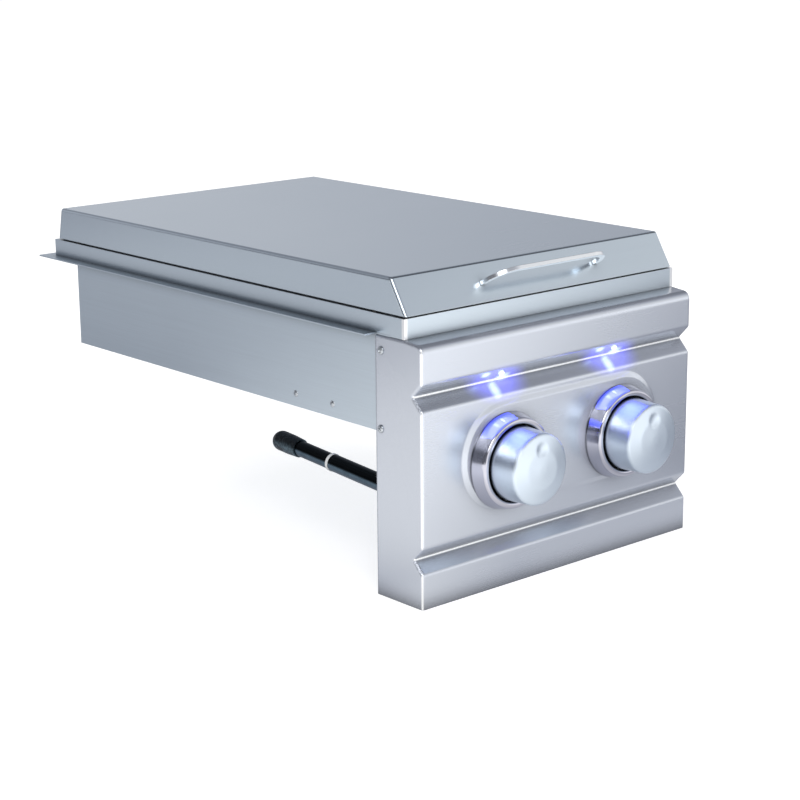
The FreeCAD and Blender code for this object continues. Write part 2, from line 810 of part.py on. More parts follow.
def build_valves():
    """Gas valves on the rail: body, bonnet, turning plug and the stem that the knob pushes in."""
    radius = dim("valve_radius")
    front = dim("valve_front")
    run = dim("running_clearance")
    saddle_height = dim("rail_level") - dim("knob_drop")
    for side, sign in SIDES:
        x = KNOB_X * sign
        stub_length = dim("spark_stub_length") + SHEET
        solid = fuse(
            f"valve_solid_{side}",
            rod(f"valve_barrel_{side}", "Y", x, front, KNOB_Z, radius, dim("valve_length")),
            rod(f"valve_saddle_{side}", "Z", x, dim("rail_y"), RAIL_Z,
                dim("valve_saddle_radius"), saddle_height),
            rod(f"valve_outlet_{side}", "Y", x, VALVE_REAR, KNOB_Z,
                dim("feed_radius") + dim("valve_outlet_wall"), dim("valve_outlet_length")),
            side_rod(f"spark_stub_{side}", sign, KNOB_X + radius - SHEET, False, KNOB_Z,
                     dim("spark_stub_radius"), stub_length, spark_stub_y()))
        chamber = rod(f"valve_chamber_{side}", "Y", x, front - OVERRUN, KNOB_Z, dim("plug_radius") + run,
                      CHAMBER_REAR - front + OVERRUN)
        seat = rod(f"valve_seat_{side}", "Y", x, VALVE_REAR, KNOB_Z,
                   dim("feed_radius") + dim("fit_clearance"), dim("valve_outlet_length") + OVERRUN)
        rail = rod(f"valve_rail_{side}", "X", x - radius * 2, dim("rail_y"), RAIL_Z,
                   dim("rail_radius"), radius * 4)
        keep(f"valve_{side}", cut(f"valve_{side}", solid, chamber, seat, rail))

        plate_front = front - dim("bonnet_thickness")
        bonnet = fuse(
            f"bonnet_solid_{side}",
            rod(f"bonnet_plate_{side}", "Y", x, plate_front, KNOB_Z, radius, dim("bonnet_thickness")),
            rod(f"bonnet_nose_{side}", "Y", x, SHEET, KNOB_Z, dim("bonnet_nose_radius"), front - SHEET))
        bore = rod(f"bonnet_bore_{side}", "Y", x, SHEET - OVERRUN, KNOB_Z,
                   dim("stem_radius") + run, front + OVERRUN)
        keep(f"valve_bonnet_{side}", cut(f"valve_bonnet_{side}", bonnet, bore))

        plug = rod(f"plug_round_{side}", "Y", x, PLUG_FRONT, KNOB_Z, dim("plug_radius"), dim("plug_length"))
        socket = flat_rod(f"plug_socket_{side}", x, PLUG_FRONT - OVERRUN, dim("plug_socket") + OVERRUN, run)
        keep(f"valve_plug_{side}", cut(f"valve_plug_{side}", plug, socket))
        keep(f"valve_stem_{side}",
             flat_rod(f"valve_stem_{side}", x, stem_front(), STEM_REAR - stem_front(), 0))


def spark_stub_y():
    """The ignition terminal sits in the middle of the valve's chamber."""
    return (dim("valve_front") + CHAMBER_REAR) / 2


def build_rail():
    """Gas rail behind the panel, with its end plug and two brackets."""
    radius = dim("rail_radius")
    y = dim("rail_y")
    left = INLET_X + dim("elbow_arm")
    length = dim("rail_reach") - left
    outer = rod("rail_outer", "X", left, y, RAIL_Z, radius, length)
    bore = rod("rail_bore", "X", left - OVERRUN, y, RAIL_Z, radius - dim("rail_wall"), length + OVERRUN * 2)
    keep("gas_rail", cut("gas_rail", outer, bore))
    keep("rail_plug", fuse(
        "rail_plug",
        rod("plug_collar", "X", dim("rail_reach"), y, RAIL_Z, dim("elbow_radius"), dim("rail_plug_length")),
        rod("plug_head", "X", dim("rail_reach") + dim("rail_plug_length"), y, RAIL_Z,
            dim("rail_plug_head"), dim("rail_plug_length"))))
    width = dim("bracket_width")
    sheet = dim("bracket_sheet")
    brackets = []
    for side, sign in SIDES:
        x = dim("bracket_spacing") / 2 * sign - width / 2
        strap = box(f"bracket_strap_{side}", x, SHEET, RAIL_Z - sheet / 2, width, y - SHEET, sheet)
        foot = box(f"bracket_foot_{side}", x, SHEET, RAIL_Z - dim("bracket_height") / 2,
                   width, sheet, dim("bracket_height"))
        saddle = rod(f"bracket_saddle_{side}", "X", x - OVERRUN, y, RAIL_Z, radius, width + OVERRUN * 2)
        brackets.append(cut(f"rail_bracket_{side}", fuse(f"bracket_solid_{side}", strap, foot), saddle))
    keep("rail_brackets", group("rail_brackets", *brackets))


def inlet_bar(name, start, radius, length, end_radius=None):
    """A round bar on the supply pipe's axis, from a distance along it."""
    start = as_size(start)
    tilt = dim("inlet_tilt")
    if end_radius is None:
        bar = DOC.addObject("Part::Cylinder", name)
        bind(bar, "Radius", radius)
    else:
        bar = DOC.addObject("Part::Cone", name)
        bind(bar, "Radius1", radius)
        bind(bar, "Radius2", end_radius)
    bind(bar, "Height", length)
    bar.Placement = FreeCAD.Placement(
        Vector(0, 0, 0), FreeCAD.Rotation(Vector(-1, 0, 0), QUARTER_TURN - tilt.value))
    bar.setExpression("Placement.Rotation.Angle", f"{QUARTER_TURN} - {tilt.text}")
    place(bar, *inlet_point(start))
    return bar


def inlet_point(distance):
    """A point on the supply pipe's axis."""
    tilt = dim("inlet_tilt")
    return INLET_X, dim("rail_y") + cosine(tilt) * distance, RAIL_Z + sine(tilt) * distance


def inlet_tube(name, start, radius, wall, length):
    """A hollow bar on the supply pipe's axis."""
    outer = inlet_bar(f"{name}_outer", start, radius, length)
    bore = inlet_bar(f"{name}_bore", as_size(start) - OVERRUN, as_size(radius) - wall, length + OVERRUN * 2)
    return cut(name, outer, bore)


def build_supply_pipe():
    """Elbow on the rail, black pipe, sealing washer, nipple and a pull-off protective cap."""
    x = INLET_X
    arm = dim("elbow_arm")
    radius = dim("elbow_radius")
    bore = dim("rail_radius") - dim("rail_wall")
    elbow = fuse("elbow_solid", rod("elbow_side", "X", x, dim("rail_y"), RAIL_Z, radius, arm),
                 inlet_bar("elbow_back", 0, radius, arm),
                 ball("elbow_corner", x, dim("rail_y"), RAIL_Z, radius))
    keep("inlet_elbow", cut(
        "inlet_elbow", elbow, rod("elbow_side_bore", "X", x, dim("rail_y"), RAIL_Z, bore, arm + OVERRUN),
        inlet_bar("elbow_back_bore", 0, dim("pipe_radius") - dim("pipe_wall"), arm + OVERRUN)))
    washer_at = arm + dim("pipe_length")
    nipple_at = washer_at + dim("washer_thickness")
    keep("supply_pipe", inlet_tube("supply_pipe", arm, dim("pipe_radius"), dim("pipe_wall"),
                                   dim("pipe_length")))
    keep("sealing_washer", inlet_tube("sealing_washer", washer_at, dim("pipe_radius") + dim("washer_lip"),
                                      dim("pipe_wall"), dim("washer_thickness")))
    keep("inlet_nipple", inlet_tube("inlet_nipple", nipple_at, dim("nipple_radius"), dim("nipple_wall"),
                                    dim("nipple_length")))
    build_inlet_cap(nipple_at + dim("nipple_length") + dim("loose_clearance"))


def build_inlet_cap(nipple_end):
    """Rounded cap over the nipple's end, given where its hollow stops."""
    hollow_length = dim("cap_taper") + dim("cap_barrel")
    mouth = nipple_end - hollow_length
    cap = fuse(
        "cap_solid",
        inlet_bar("cap_skirt", mouth, dim("cap_mouth_radius"), dim("cap_taper"), dim("cap_radius")),
        inlet_bar("cap_middle", mouth + dim("cap_taper"), dim("cap_radius"), dim("cap_barrel")),
        ball("cap_round", *inlet_point(nipple_end), dim("cap_radius")))
    hollow = inlet_bar("cap_hollow", mouth - OVERRUN, dim("nipple_radius") + dim("loose_clearance"),
                       hollow_length + OVERRUN)
    keep("inlet_cap", cut("inlet_cap", cap, hollow))


def build_burner_box():
    """Folded box that hangs in the counter, with the flange that carries it."""
    front = dim("box_front")
    length = BOX_REAR - front
    depth = dim("box_depth")
    shell = cut(
        "box_shell",
        middle_box("box_outer", BOX_HALF, front, -depth, length, depth + SHEET),
        middle_box("box_inner", BOX_INNER_HALF, front + SHEET, BOX_FLOOR,
                   length - SHEET * 2, depth + OVERRUN))
    flange = cut(
        "box_flange",
        middle_box("flange_plate", FLANGE_HALF, FLANGE_FRONT, 0, FLANGE_REAR - FLANGE_FRONT, SHEET),
        middle_box("flange_window", BOX_INNER_HALF, FLANGE_FRONT - OVERRUN, -OVERRUN,
                   BOX_REAR - SHEET - FLANGE_FRONT + OVERRUN, OVERRUN * 2))
    openings = []
    for side, sign in SIDES:
        openings.append(rod(f"feed_hole_{side}", "Z", KNOB_X * sign, dim("riser_y"), -depth - OVERRUN,
                            dim("feed_radius") + dim("feed_hole_clearance"), SHEET + OVERRUN * 2))
        openings.append(rod(f"lead_hole_{side}", "Z", lead_x() * sign, lead_riser_y(), -depth - OVERRUN,
                            dim("lead_radius") + dim("lead_hole_clearance"), SHEET + OVERRUN * 2))
    for name, y, z in screw_places():
        openings.append(through_rod(f"box_{name}_hole", y, z, dim("screw_radius") + dim("fit_clearance")))
    for name, y in rivet_places():
        openings.append(through_rod(f"box_{name}_hole", y, RIVET_Z,
                                    dim("rivet_radius") + dim("fit_clearance")))
    keep("burner_box", cut("burner_box", fuse("box_folded", shell, flange), *openings))


def rivet_places():
    """Where the front support is riveted to the box's sides, from front to back."""
    middle = dim("front_burner_y") - dim("support_shift")
    half = dim("rivet_spacing") / 2
    return ("front_rivet", middle - half), ("rear_rivet", middle + half)


def build_side_fasteners():
    """Screws through the panel's sides and rivets through the box's sides."""
    screws = []
    rivets = []
    for side, sign in SIDES:
        for name, y, z in screw_places():
            head = side_rod(f"{name}_head_{side}", sign, HALF_WIDTH, False, z,
                            dim("screw_head_radius"), dim("screw_head_height"), y)
            shank = side_rod(f"{name}_shank_{side}", sign, HALF_WIDTH, True, z,
                             dim("screw_radius"), dim("screw_length"), y)
            screws.append(fuse(f"{name}_{side}", head, shank))
        for name, y in rivet_places():
            head = side_rod(f"{name}_head_{side}", sign, BOX_HALF, False, RIVET_Z,
                            dim("rivet_head_radius"), dim("rivet_head_height"), y)
            shank = side_rod(f"{name}_shank_{side}", sign, BOX_HALF, True, RIVET_Z,
                             dim("rivet_radius"), SHEET * 2, y)
            rivets.append(fuse(f"{name}_{side}", head, shank))
    keep("housing_screws", group("housing_screws", *screws))
    keep("box_rivets", group("box_rivets", *rivets))


def build_supports():
    """Folded members across the box's floor that carry the burners, the front one riveted."""
    top = BOWL_FLOOR - BOX_FLOOR
    width = dim("support_width")
    for name, y, _ in BURNERS:
        front = y - dim("support_shift") - width / 2
        bridge = cut(
            f"support_bridge_{name}",
            middle_box(f"support_outer_{name}", BOX_INNER_HALF, front, BOX_FLOOR, width, top),
            middle_box(f"support_inner_{name}", BOX_INNER_HALF + OVERRUN, front + SHEET, BOX_FLOOR - OVERRUN,
                       width - SHEET * 2, top - SHEET + OVERRUN))
        parts = [bridge]
        for side, sign in SIDES:
            x = BOX_INNER_HALF - SHEET if sign > 0 else -BOX_INNER_HALF
            parts.append(box(f"support_tab_{name}_{side}", x, front, BOWL_FLOOR - SHEET,
                             SHEET, width, dim("support_tab")))
        support = fuse(f"support_solid_{name}", *parts)
        if name == "front":
            holes = [through_rod(f"support_{rivet}_hole", place_y, RIVET_Z,
                                 dim("rivet_radius") + dim("fit_clearance"))
                     for rivet, place_y in rivet_places()]
            support = cut("support_front_drilled", support, *holes)
        keep(f"burner_support_{name}", support)


def build_top_frame():
    """Raised frame that the lid closes on, with a lip turned in and a skirt down to the panel."""
    front = dim("rim_front")
    length = dim("rim_length")
    lip = dim("rim_lip")
    skirt_length = dim("box_front") - front
    outer = fuse("rim_solid", middle_box("rim_outer", RIM_HALF, front, SHEET, length, RIM_TOP - SHEET),
                 middle_box("rim_skirt", RIM_HALF, front, 0, skirt_length, SHEET * 2))
    inner = fuse(
        "rim_space",
        middle_box("rim_inner", RIM_HALF - SHEET, front + SHEET, -OVERRUN, length - SHEET * 2,
                   RIM_TOP - SHEET + OVERRUN),
        middle_box("rim_window", RIM_HALF - lip, front + lip, 0, length - lip * 2, RIM_TOP + OVERRUN))
    keep("top_frame", cut("top_frame", outer, inner))


def build_burner_pan():
    """Deep pan whose deck rests on the frame's lip, with openings for burners and igniters."""
    half = RIM_HALF - dim("pan_wall_inset")
    inner_half = half - SHEET
    front = dim("box_front") + SHEET + dim("pan_margin")
    length = BOX_REAR - SHEET - dim("pan_margin") - front
    depth = dim("pan_depth") + SHEET
    inset = dim("pan_deck_inset")
    solid = fuse(
        "pan_solid",
        middle_box("pan_deck", RIM_HALF - inset, dim("rim_front") + inset, RIM_TOP,
                   dim("rim_length") - inset * 2, SHEET),
        middle_box("pan_tub", half, front, PAN_FLOOR, length, depth))
    openings = [middle_box("pan_space", inner_half, front + SHEET, PAN_FLOOR + SHEET,
                           length - SHEET * 2, depth + OVERRUN)]
    for name, y, sign in BURNERS:
        openings.append(rod(f"pan_throat_{name}", "Z", 0, y, PAN_FLOOR - OVERRUN,
                            dim("throat_radius") + dim("loose_clearance"), SHEET + OVERRUN * 2))
        openings.append(rod(f"pan_igniter_{name}", "Z", dim("igniter_offset") * sign, y, PAN_FLOOR - OVERRUN,
                            dim("igniter_radius") + dim("loose_clearance"), SHEET + OVERRUN * 2))
    keep("burner_pan", cut("burner_pan", solid, *openings))


def mixer_mouth(y):
    """Where a burner's mixing tube opens towards the front."""
    return y - dim("bowl_radius") - dim("mixer_length")


def jet_rear(y):
    """Where a burner's gas jet begins."""
    return mixer_mouth(y) - dim("jet_gap")


def build_burners():
    """Two burners, each with a bowl, a ported ring, a cap, an air shutter and a gas jet."""
    for name, y, _ in BURNERS:
        build_bowl(name, y)
        build_ring_and_cap(name, y)
        build_shutter_and_jet(name, y)


def build_bowl(name, y):
    """Mixing bowl under the pan with its mixing tube and the neck that passes the pan's floor."""
    bowl = dim("bowl_radius")
    wall = dim("bowl_wall")
    throat = dim("throat_radius")
    mixer = dim("mixer_radius")
    mouth = mixer_mouth(y)
    flange_base = PAN_FLOOR - wall
    solid = fuse(
        f"bowl_solid_{name}",
        rod(f"bowl_cup_{name}", "Z", 0, y, BOWL_FLOOR, bowl, dim("bowl_depth") - wall),
        rod(f"bowl_flange_{name}", "Z", 0, y, flange_base, bowl + dim("bowl_flange"), wall),
        rod(f"bowl_neck_{name}", "Z", 0, y, flange_base, throat, wall + SHEET + dim("throat_rise")),
        rod(f"mixer_{name}", "Y", 0, mouth, GAS_Z, mixer, dim("mixer_length") + bowl / 2))
    flow = rod(f"mixer_bore_{name}", "Y", 0, mouth - OVERRUN, GAS_Z, mixer - dim("mixer_wall"),
               dim("mixer_length") + bowl + OVERRUN)
    room = rod(f"bowl_room_{name}", "Z", 0, y, BOWL_FLOOR + wall, bowl - wall, dim("bowl_depth") - wall * 3)
    rise = rod(f"bowl_rise_{name}", "Z", 0, y, GAS_Z, throat - wall, dim("bowl_depth") + OVERRUN)
    keep(f"burner_bowl_{name}", cut(f"burner_bowl_{name}", solid, flow, room, rise))


def build_ring_and_cap(name, y):
    """Ported ring on the bowl's neck and the loose cap on the ring."""
    base = PAN_FLOOR + SHEET + dim("throat_rise")
    radius = dim("burner_radius")
    chamber = radius - dim("burner_wall")
    height = dim("ring_height")
    ring = cut(
        f"ring_hollow_{name}", rod(f"ring_outer_{name}", "Z", 0, y, base, radius, height),
        rod(f"ring_chamber_{name}", "Z", 0, y, base + dim("burner_floor"), chamber, height),
        rod(f"ring_passage_{name}", "Z", 0, y, base - OVERRUN, dim("throat_radius") - dim("bowl_wall"),
            height + OVERRUN))
    keep(f"burner_ring_{name}", cut(f"burner_ring_{name}", ring,
                                    flame_ports(name, y, base + height - dim("port_drop"))))
    seat = base + height
    edge = radius + dim("cap_overhang")
    half = dim("cap_thickness") / 2
    keep(f"burner_cap_{name}", fuse(
        f"burner_cap_{name}",
        rod(f"cap_disc_{name}", "Z", 0, y, seat, edge, half),
        cone(f"cap_crown_{name}", "Z", 0, y, seat + half, edge, dim("cap_top_radius"), half),
        rod(f"cap_spigot_{name}", "Z", 0, y, seat - dim("cap_spigot"), chamber - dim("loose_clearance"),
            dim("cap_spigot") + half)))


def flame_ports(name, y, z):
    """The flame ports as short bars through the ring's wall."""
    start = dim("burner_radius") - dim("burner_wall") - OVERRUN
    bars = []
    for index in range(PORT_COUNT):
        angle = math.radians(FULL_TURN * index / PORT_COUNT)
        outward = Vector(math.cos(angle), math.sin(angle), 0)
        bar = DOC.addObject("Part::Cylinder", f"port_{name}_{index}")
        bind(bar, "Radius", dim("port_radius"))
        bind(bar, "Height", dim("burner_wall") + OVERRUN * 2)
        bar.Placement = FreeCAD.Placement(Vector(0, 0, 0), FreeCAD.Rotation(Vector(0, 0, 1), outward))
        place(bar, start * outward.x, y + start * outward.y, z)
        bars.append(bar)
    return group(f"ports_{name}", *bars)


def build_shutter_and_jet(name, y):
    """Turning air shutter on the mixing tube's mouth and the gas jet that points into it."""
    mouth = mixer_mouth(y)
    wall = dim("shutter_wall")
    bore = dim("mixer_radius") + dim("loose_clearance")
    front = mouth - dim("loose_clearance") - wall
    window = dim("shutter_window")
    windows = [
        box(f"shutter_window_{name}_{side}", bore * sign - window / 2, front - OVERRUN,
            GAS_Z - window / 2, window, wall + OVERRUN, window)
        for side, sign in SIDES
    ]
    keep(f"air_shutter_{name}", cut(
        f"air_shutter_{name}",
        rod(f"shutter_sleeve_{name}", "Y", 0, front, GAS_Z, bore + wall, dim("shutter_length")),
        rod(f"shutter_seat_{name}", "Y", 0, front + wall, GAS_Z, bore, dim("shutter_length")),
        rod(f"shutter_mouth_{name}", "Y", 0, front - OVERRUN, GAS_Z,
            dim("shutter_mouth"), wall + OVERRUN * 2),
        *windows))
    rear = jet_rear(y)
    jet = fuse(f"jet_solid_{name}",
               rod(f"jet_body_{name}", "Y", 0, rear, GAS_Z, dim("jet_radius"), dim("jet_length")),
               rod(f"jet_tip_{name}", "Y", 0, rear + dim("jet_length"), GAS_Z, dim("jet_tip_radius"),
                   dim("jet_tip_length")))
    bore_rod = rod(f"jet_bore_{name}", "Y", 0, rear, GAS_Z, dim("jet_bore"),
                   dim("jet_length") + dim("jet_tip_length") + OVERRUN)
    socket = rod(f"jet_socket_{name}", "Y", 0, rear - OVERRUN, GAS_Z,
                 dim("feed_radius") + dim("fit_clearance"), dim("jet_socket") + OVERRUN)
    keep(f"gas_jet_{name}", cut(f"gas_jet_{name}", jet, bore_rod, socket))


def tube_path(points, bend):
    """A path of straight runs with a tangent arc at each corner."""
    edges = []
    start = points[0]
    for before, corner, after in zip(points, points[1:], points[2:]):
        arriving = (corner - before).normalize()
        leaving = (after - corner).normalize()
        half_turn = arriving.getAngle(leaving) / 2
        setback = bend * math.tan(half_turn)
        first = corner - arriving * setback
        last = corner + leaving * setback
        inward = (leaving - arriving).normalize()
        middle = corner + inward * (bend / math.cos(half_turn) - bend)
        edges.append(Part.LineSegment(start, first).toShape())
        edges.append(Part.Arc(first, middle, last).toShape())
        start = last
    edges.append(Part.LineSegment(start, points[-1]).toShape())
    return Part.Wire(edges)


def swept_tube(points, radius, bend):
    """A solid round bar along a path, given as sizes."""
    path = tube_path(points, bend.value)
    direction = (points[1] - points[0]).normalize()
    ring = Part.Wire([Part.Circle(points[0], direction, radius.value).toShape()])
    return path.makePipeShell([ring], True, False)


def build_feed_tubes():
    """Gas tubes from the valves up into the box and along to each burner's jet."""
    low = KNOB_Z.value
    high = GAS_Z.value
    x = KNOB_X.value
    begin = VALVE_REAR.value
    riser = dim("riser_y").value
    ends = {name: (jet_rear(y) + dim("jet_socket")).value for name, y, _ in BURNERS}
    turn = jet_rear(dim("rear_burner_y")).value - 2 * dim("feed_bend").value
    routes = {
        "front": [Vector(-x, begin, low), Vector(-x, riser, low), Vector(-x, riser, high),
                  Vector(0, riser, high), Vector(0, ends["front"], high)],
        "rear": [Vector(x, begin, low), Vector(x, riser, low), Vector(x, riser, high),
                 Vector(x, turn, high), Vector(0, turn, high), Vector(0, ends["rear"], high)],
    }
    for name, points in routes.items():
        tube = swept_tube(points, dim("feed_radius"), dim("feed_bend"))
        keep(f"feed_tube_{name}", made_piece(f"feed_tube_{name}", tube))


def build_igniters():
    """Igniter beside each burner: insulator through the pan's floor and an electrode at the ports."""
    top = -dim("igniter_top_drop")
    bottom = top - dim("igniter_length")
    thin = dim("electrode_radius")
    for name, y, sign in BURNERS:
        x = dim("igniter_offset") * sign
        tip_x = (x - dim("electrode_reach") * sign).value
        tip_z = (top + dim("electrode_rise")).value
        wire = [Vector(x.value, y.value, (top - SHEET).value), Vector(x.value, y.value, tip_z),
                Vector(tip_x, y.value, tip_z)]
        keep(f"igniter_{name}", fuse(
            f"igniter_{name}",
            rod(f"insulator_{name}", "Z", x, y, bottom, dim("igniter_radius"), dim("igniter_length")),
            rod(f"igniter_flange_{name}", "Z", x, y, PAN_FLOOR + SHEET, dim("igniter_flange"),
                dim("igniter_flange_thickness")),
            made_piece(f"electrode_{name}", swept_tube(wire, thin, dim("electrode_bend")))))


def lead_x():
    """How far from the middle the igniter leads run."""
    return KNOB_X + dim("valve_radius") + dim("spark_stub_length") + dim("lead_bend") + dim("lead_radius")


def lead_riser_y():
    """Where the igniter leads rise through the box's floor."""
    return dim("riser_y") + dim("lead_bend")


def build_igniter_leads():
    """Leads from the valves' ignition terminals up into the box and back to the igniters."""
    start_x = (KNOB_X + dim("valve_radius") + dim("spark_stub_length")).value
    run_x = lead_x().value
    start_y = spark_stub_y().value
    riser = lead_riser_y().value
    low = KNOB_Z.value
    under = -(dim("box_depth") + dim("lead_bend")).value
    inside = (BOWL_FLOOR + dim("lead_bend")).value
    top = -(dim("igniter_top_drop") + dim("igniter_length")).value
    leads = []
    for name, y, sign in BURNERS:
        igniter_x = dim("igniter_offset").value * sign
        points = [
            Vector(start_x * sign, start_y, low), Vector(run_x * sign, start_y, low),
            Vector(run_x * sign, start_y, under), Vector(run_x * sign, riser, under),
            Vector(run_x * sign, riser, inside), Vector(run_x * sign, y.value, inside),
            Vector(igniter_x, y.value, inside), Vector(igniter_x, y.value, top),
        ]
        leads.append(made_piece(f"igniter_lead_{name}",
                                swept_tube(points, dim("lead_radius"), dim("lead_bend"))))
    keep("igniter_leads", group("igniter_leads", *leads))


def build_grates():
    """Two lift-off cooking grates on the pan's deck: a bent frame with a cross bar and fingers on it."""
    radius = dim("grate_rod")
    finger = dim("grate_finger_rod")
    level = DECK_TOP + radius
    half = RIM_HALF - dim("grate_side_inset")
    near_end = dim("rim_front") + dim("grate_front_inset")
    length = (RIM_REAR - dim("grate_rear_inset") - dim("grate_gap") - near_end) / 2
    pitch = half * 2 / (GRATE_FINGERS + 1)
    fronts = {"front": near_end, "rear": near_end + length + dim("grate_gap")}
    for name, front in fronts.items():
        near = front + radius
        far = front + length - radius
        frame = fuse(
            f"grate_base_{name}", made_piece(f"grate_frame_{name}", grate_frame(half, near, far, level)),
            rod(f"grate_cross_{name}", "X", -half, (near + far) / 2, level, dim("grate_cross_rod"),
                half * 2))
        fingers = []
        for index in range(GRATE_FINGERS):
            x = pitch * (index - (GRATE_FINGERS - 1) / 2)
            fingers.append(rod(f"grate_finger_{name}_{index}", "Y", x, front, level + radius + finger,
                               finger, length))
        keep(f"grate_{name}", group(f"grate_{name}", frame, *fingers))


def grate_frame(half, near, far, level):
    """A closed frame of round bar with bent corners."""
    left, right = -half.value, half.value
    front, back = near.value, far.value
    z = level.value
    start = Vector(left, (front + back) / 2, z)
    corners = [start, Vector(left, front, z), Vector(right, front, z), Vector(right, back, z),
               Vector(left, back, z), start]
    return swept_tube(corners, dim("grate_rod"), dim("grate_corner"))


def lid_rear_face(z):
    """Where the lid's rear face is at a height, from the panel's front face."""
    return LID_REAR - (as_size(z) - LID_BASE) * dim("lid_rear_lean") / dim("lid_height")


def lid_front_face(z):
    """Where the lid's front face is at a height, from the panel's front face."""
    return dim("rim_front") + (as_size(z) - LID_BASE) * dim("lid_front_lean") / dim("lid_height")


def build_lid():
    """Hollow lid with a steep front face."""
    body = new_body("lid_body")
    front = dim("rim_front")
    outline = outline_sketch(body, "lid_outline", [
        (front, LID_BASE), (LID_REAR, LID_BASE), (lid_rear_face(LID_TOP), LID_TOP),
        (lid_front_face(LID_TOP), LID_TOP),
    ])
    block = across(body, "Pad", outline, "lid_block", LID_WIDTH)
    round_edges(body, block, "lid_bends", dim("lid_bend"),
                lambda edge: middle_of(edge).z > LID_BASE.value + SAME)
    slope = root(dim("lid_front_lean") * dim("lid_front_lean") + dim("lid_height") * dim("lid_height"))
    wall = SHEET * slope / dim("lid_height")
    below = LID_BASE - OVERRUN
    ceiling = LID_TOP - SHEET
    inside = outline_sketch(body, "lid_inside", [
        (lid_front_face(below) + wall, below), (lid_rear_face(below) - wall, below),
        (lid_rear_face(ceiling) - wall, ceiling), (lid_front_face(ceiling) + wall, ceiling),
    ])
    across(body, "Pocket", inside, "lid_hollow", LID_WIDTH - SHEET * 2)
    keep("lid", body)


def build_grip():
    """Bow grip bent from flat bar, which stands square to the lid's front face."""
    width = dim("grip_width")
    bow = grip_block(dim("grip_half"), dim("grip_reach"), dim("grip_bend"))
    space = grip_block(dim("grip_half") - width, dim("grip_reach") - width, dim("grip_bend") - width)
    keep("lid_grip", made_piece("lid_grip", bow.cut(space)))


def grip_block(half, reach, bend):
    """A flat block with rounded outer corners, square to the lid's front face."""
    rise, lean = dim("lid_height").value, dim("lid_front_lean").value
    upward = Vector(0, lean, rise).normalize()
    outward = Vector(0, -rise, lean).normalize()
    foot = Vector(0, dim("rim_front").value, LID_BASE.value) + upward * dim("grip_level").value
    places = ((-half, 0), (-half, reach), (half, reach), (half, 0))
    corners = [foot + Vector(as_size(x).value, 0, 0) + outward * as_size(out).value for x, out in places]
    curve = tube_path(corners, bend.value)
    base = Part.LineSegment(corners[-1], corners[0]).toShape()
    face = Part.Face(Part.Wire(curve.Edges + [base]))
    return face.extrude(upward * dim("grip_thickness").value)


def build_hinges():
    """Two hinges at the lid's rear, each with a fixed leaf, a moving leaf and a pin."""
    pins = []
    for side, sign in SIDES:
        start = dim("hinge_spacing") / 2 * sign - dim("hinge_length") / 2
        build_fixed_leaf(side, start)
        build_moving_leaf(side, start)
        pins.append(rod(f"hinge_pin_{side}", "X", start, HINGE_Y, HINGE_Z,
                        dim("hinge_pin"), dim("hinge_length")))
    keep("hinge_pins", group("hinge_pins", *pins))


def knuckle_length():
    """Length of one of a hinge's three knuckles."""
    return (dim("hinge_length") - dim("hinge_gap") * 2) / 3


def knuckle(name, start, radius, length):
    """A rod on the hinge's axis."""
    return rod(name, "X", start, HINGE_Y, HINGE_Z, radius, length)


def build_fixed_leaf(side, start):
    """Leaf on the frame's rear face with the two outer knuckles."""
    length = knuckle_length()
    radius = dim("knuckle_radius")
    leaf = dim("hinge_leaf")
    notch = knuckle(f"fixed_notch_{side}", start + length, radius + dim("hinge_gap"),
                    length + dim("hinge_gap") * 2)
    plate = fuse(
        f"fixed_plate_{side}",
        box(f"fixed_sheet_{side}", start, RIM_REAR, HINGE_Z - dim("fixed_leaf_height"),
            dim("hinge_length"), leaf, dim("fixed_leaf_height")),
        box(f"fixed_neck_{side}", start, RIM_REAR, HINGE_Z - radius, dim("hinge_length"),
            dim("hinge_stand_off"), leaf))
    bore = knuckle(f"fixed_bore_{side}", start - OVERRUN, dim("hinge_pin") + dim("fit_clearance"),
                   dim("hinge_length") + OVERRUN * 2)
    leaf_with_knuckles = fuse(
        f"fixed_solid_{side}", cut(f"fixed_notched_{side}", plate, notch),
        knuckle(f"fixed_knuckle_near_{side}", start, radius, length),
        knuckle(f"fixed_knuckle_far_{side}", start + dim("hinge_length") - length, radius, length))
    keep(f"hinge_fixed_leaf_{side}", cut(f"hinge_fixed_leaf_{side}", leaf_with_knuckles, bore))


def build_moving_leaf(side, start):
    """Leaf on the lid's rear face with the middle knuckle."""
    length = knuckle_length()
    radius = dim("knuckle_radius")
    leaf = dim("hinge_leaf")
    foot = HINGE_Z + radius - leaf
    head = foot + dim("moving_leaf_height")
    body = new_body(f"moving_leaf_{side}_body", start + dim("hinge_length") / 2)
    outline = outline_sketch(body, f"moving_leaf_{side}_outline", [
        (lid_rear_face(foot), foot), (lid_rear_face(foot) + leaf, foot),
        (lid_rear_face(head) + leaf, head), (lid_rear_face(head), head),
    ])
    across(body, "Pad", outline, f"moving_leaf_{side}_sheet", dim("hinge_length"))
    neck_front = lid_rear_face(foot) + leaf / 2
    solid = fuse(
        f"moving_solid_{side}", body,
        box(f"moving_neck_{side}", start + length + dim("hinge_gap"), neck_front, foot,
            length, HINGE_Y - neck_front, leaf),
        knuckle(f"moving_knuckle_{side}", start + length + dim("hinge_gap"), radius, length))
    bore = knuckle(f"moving_bore_{side}", start,
                   dim("hinge_pin") + dim("running_clearance"), dim("hinge_length"))
    keep(f"hinge_moving_leaf_{side}", cut(f"hinge_moving_leaf_{side}", solid, bore))


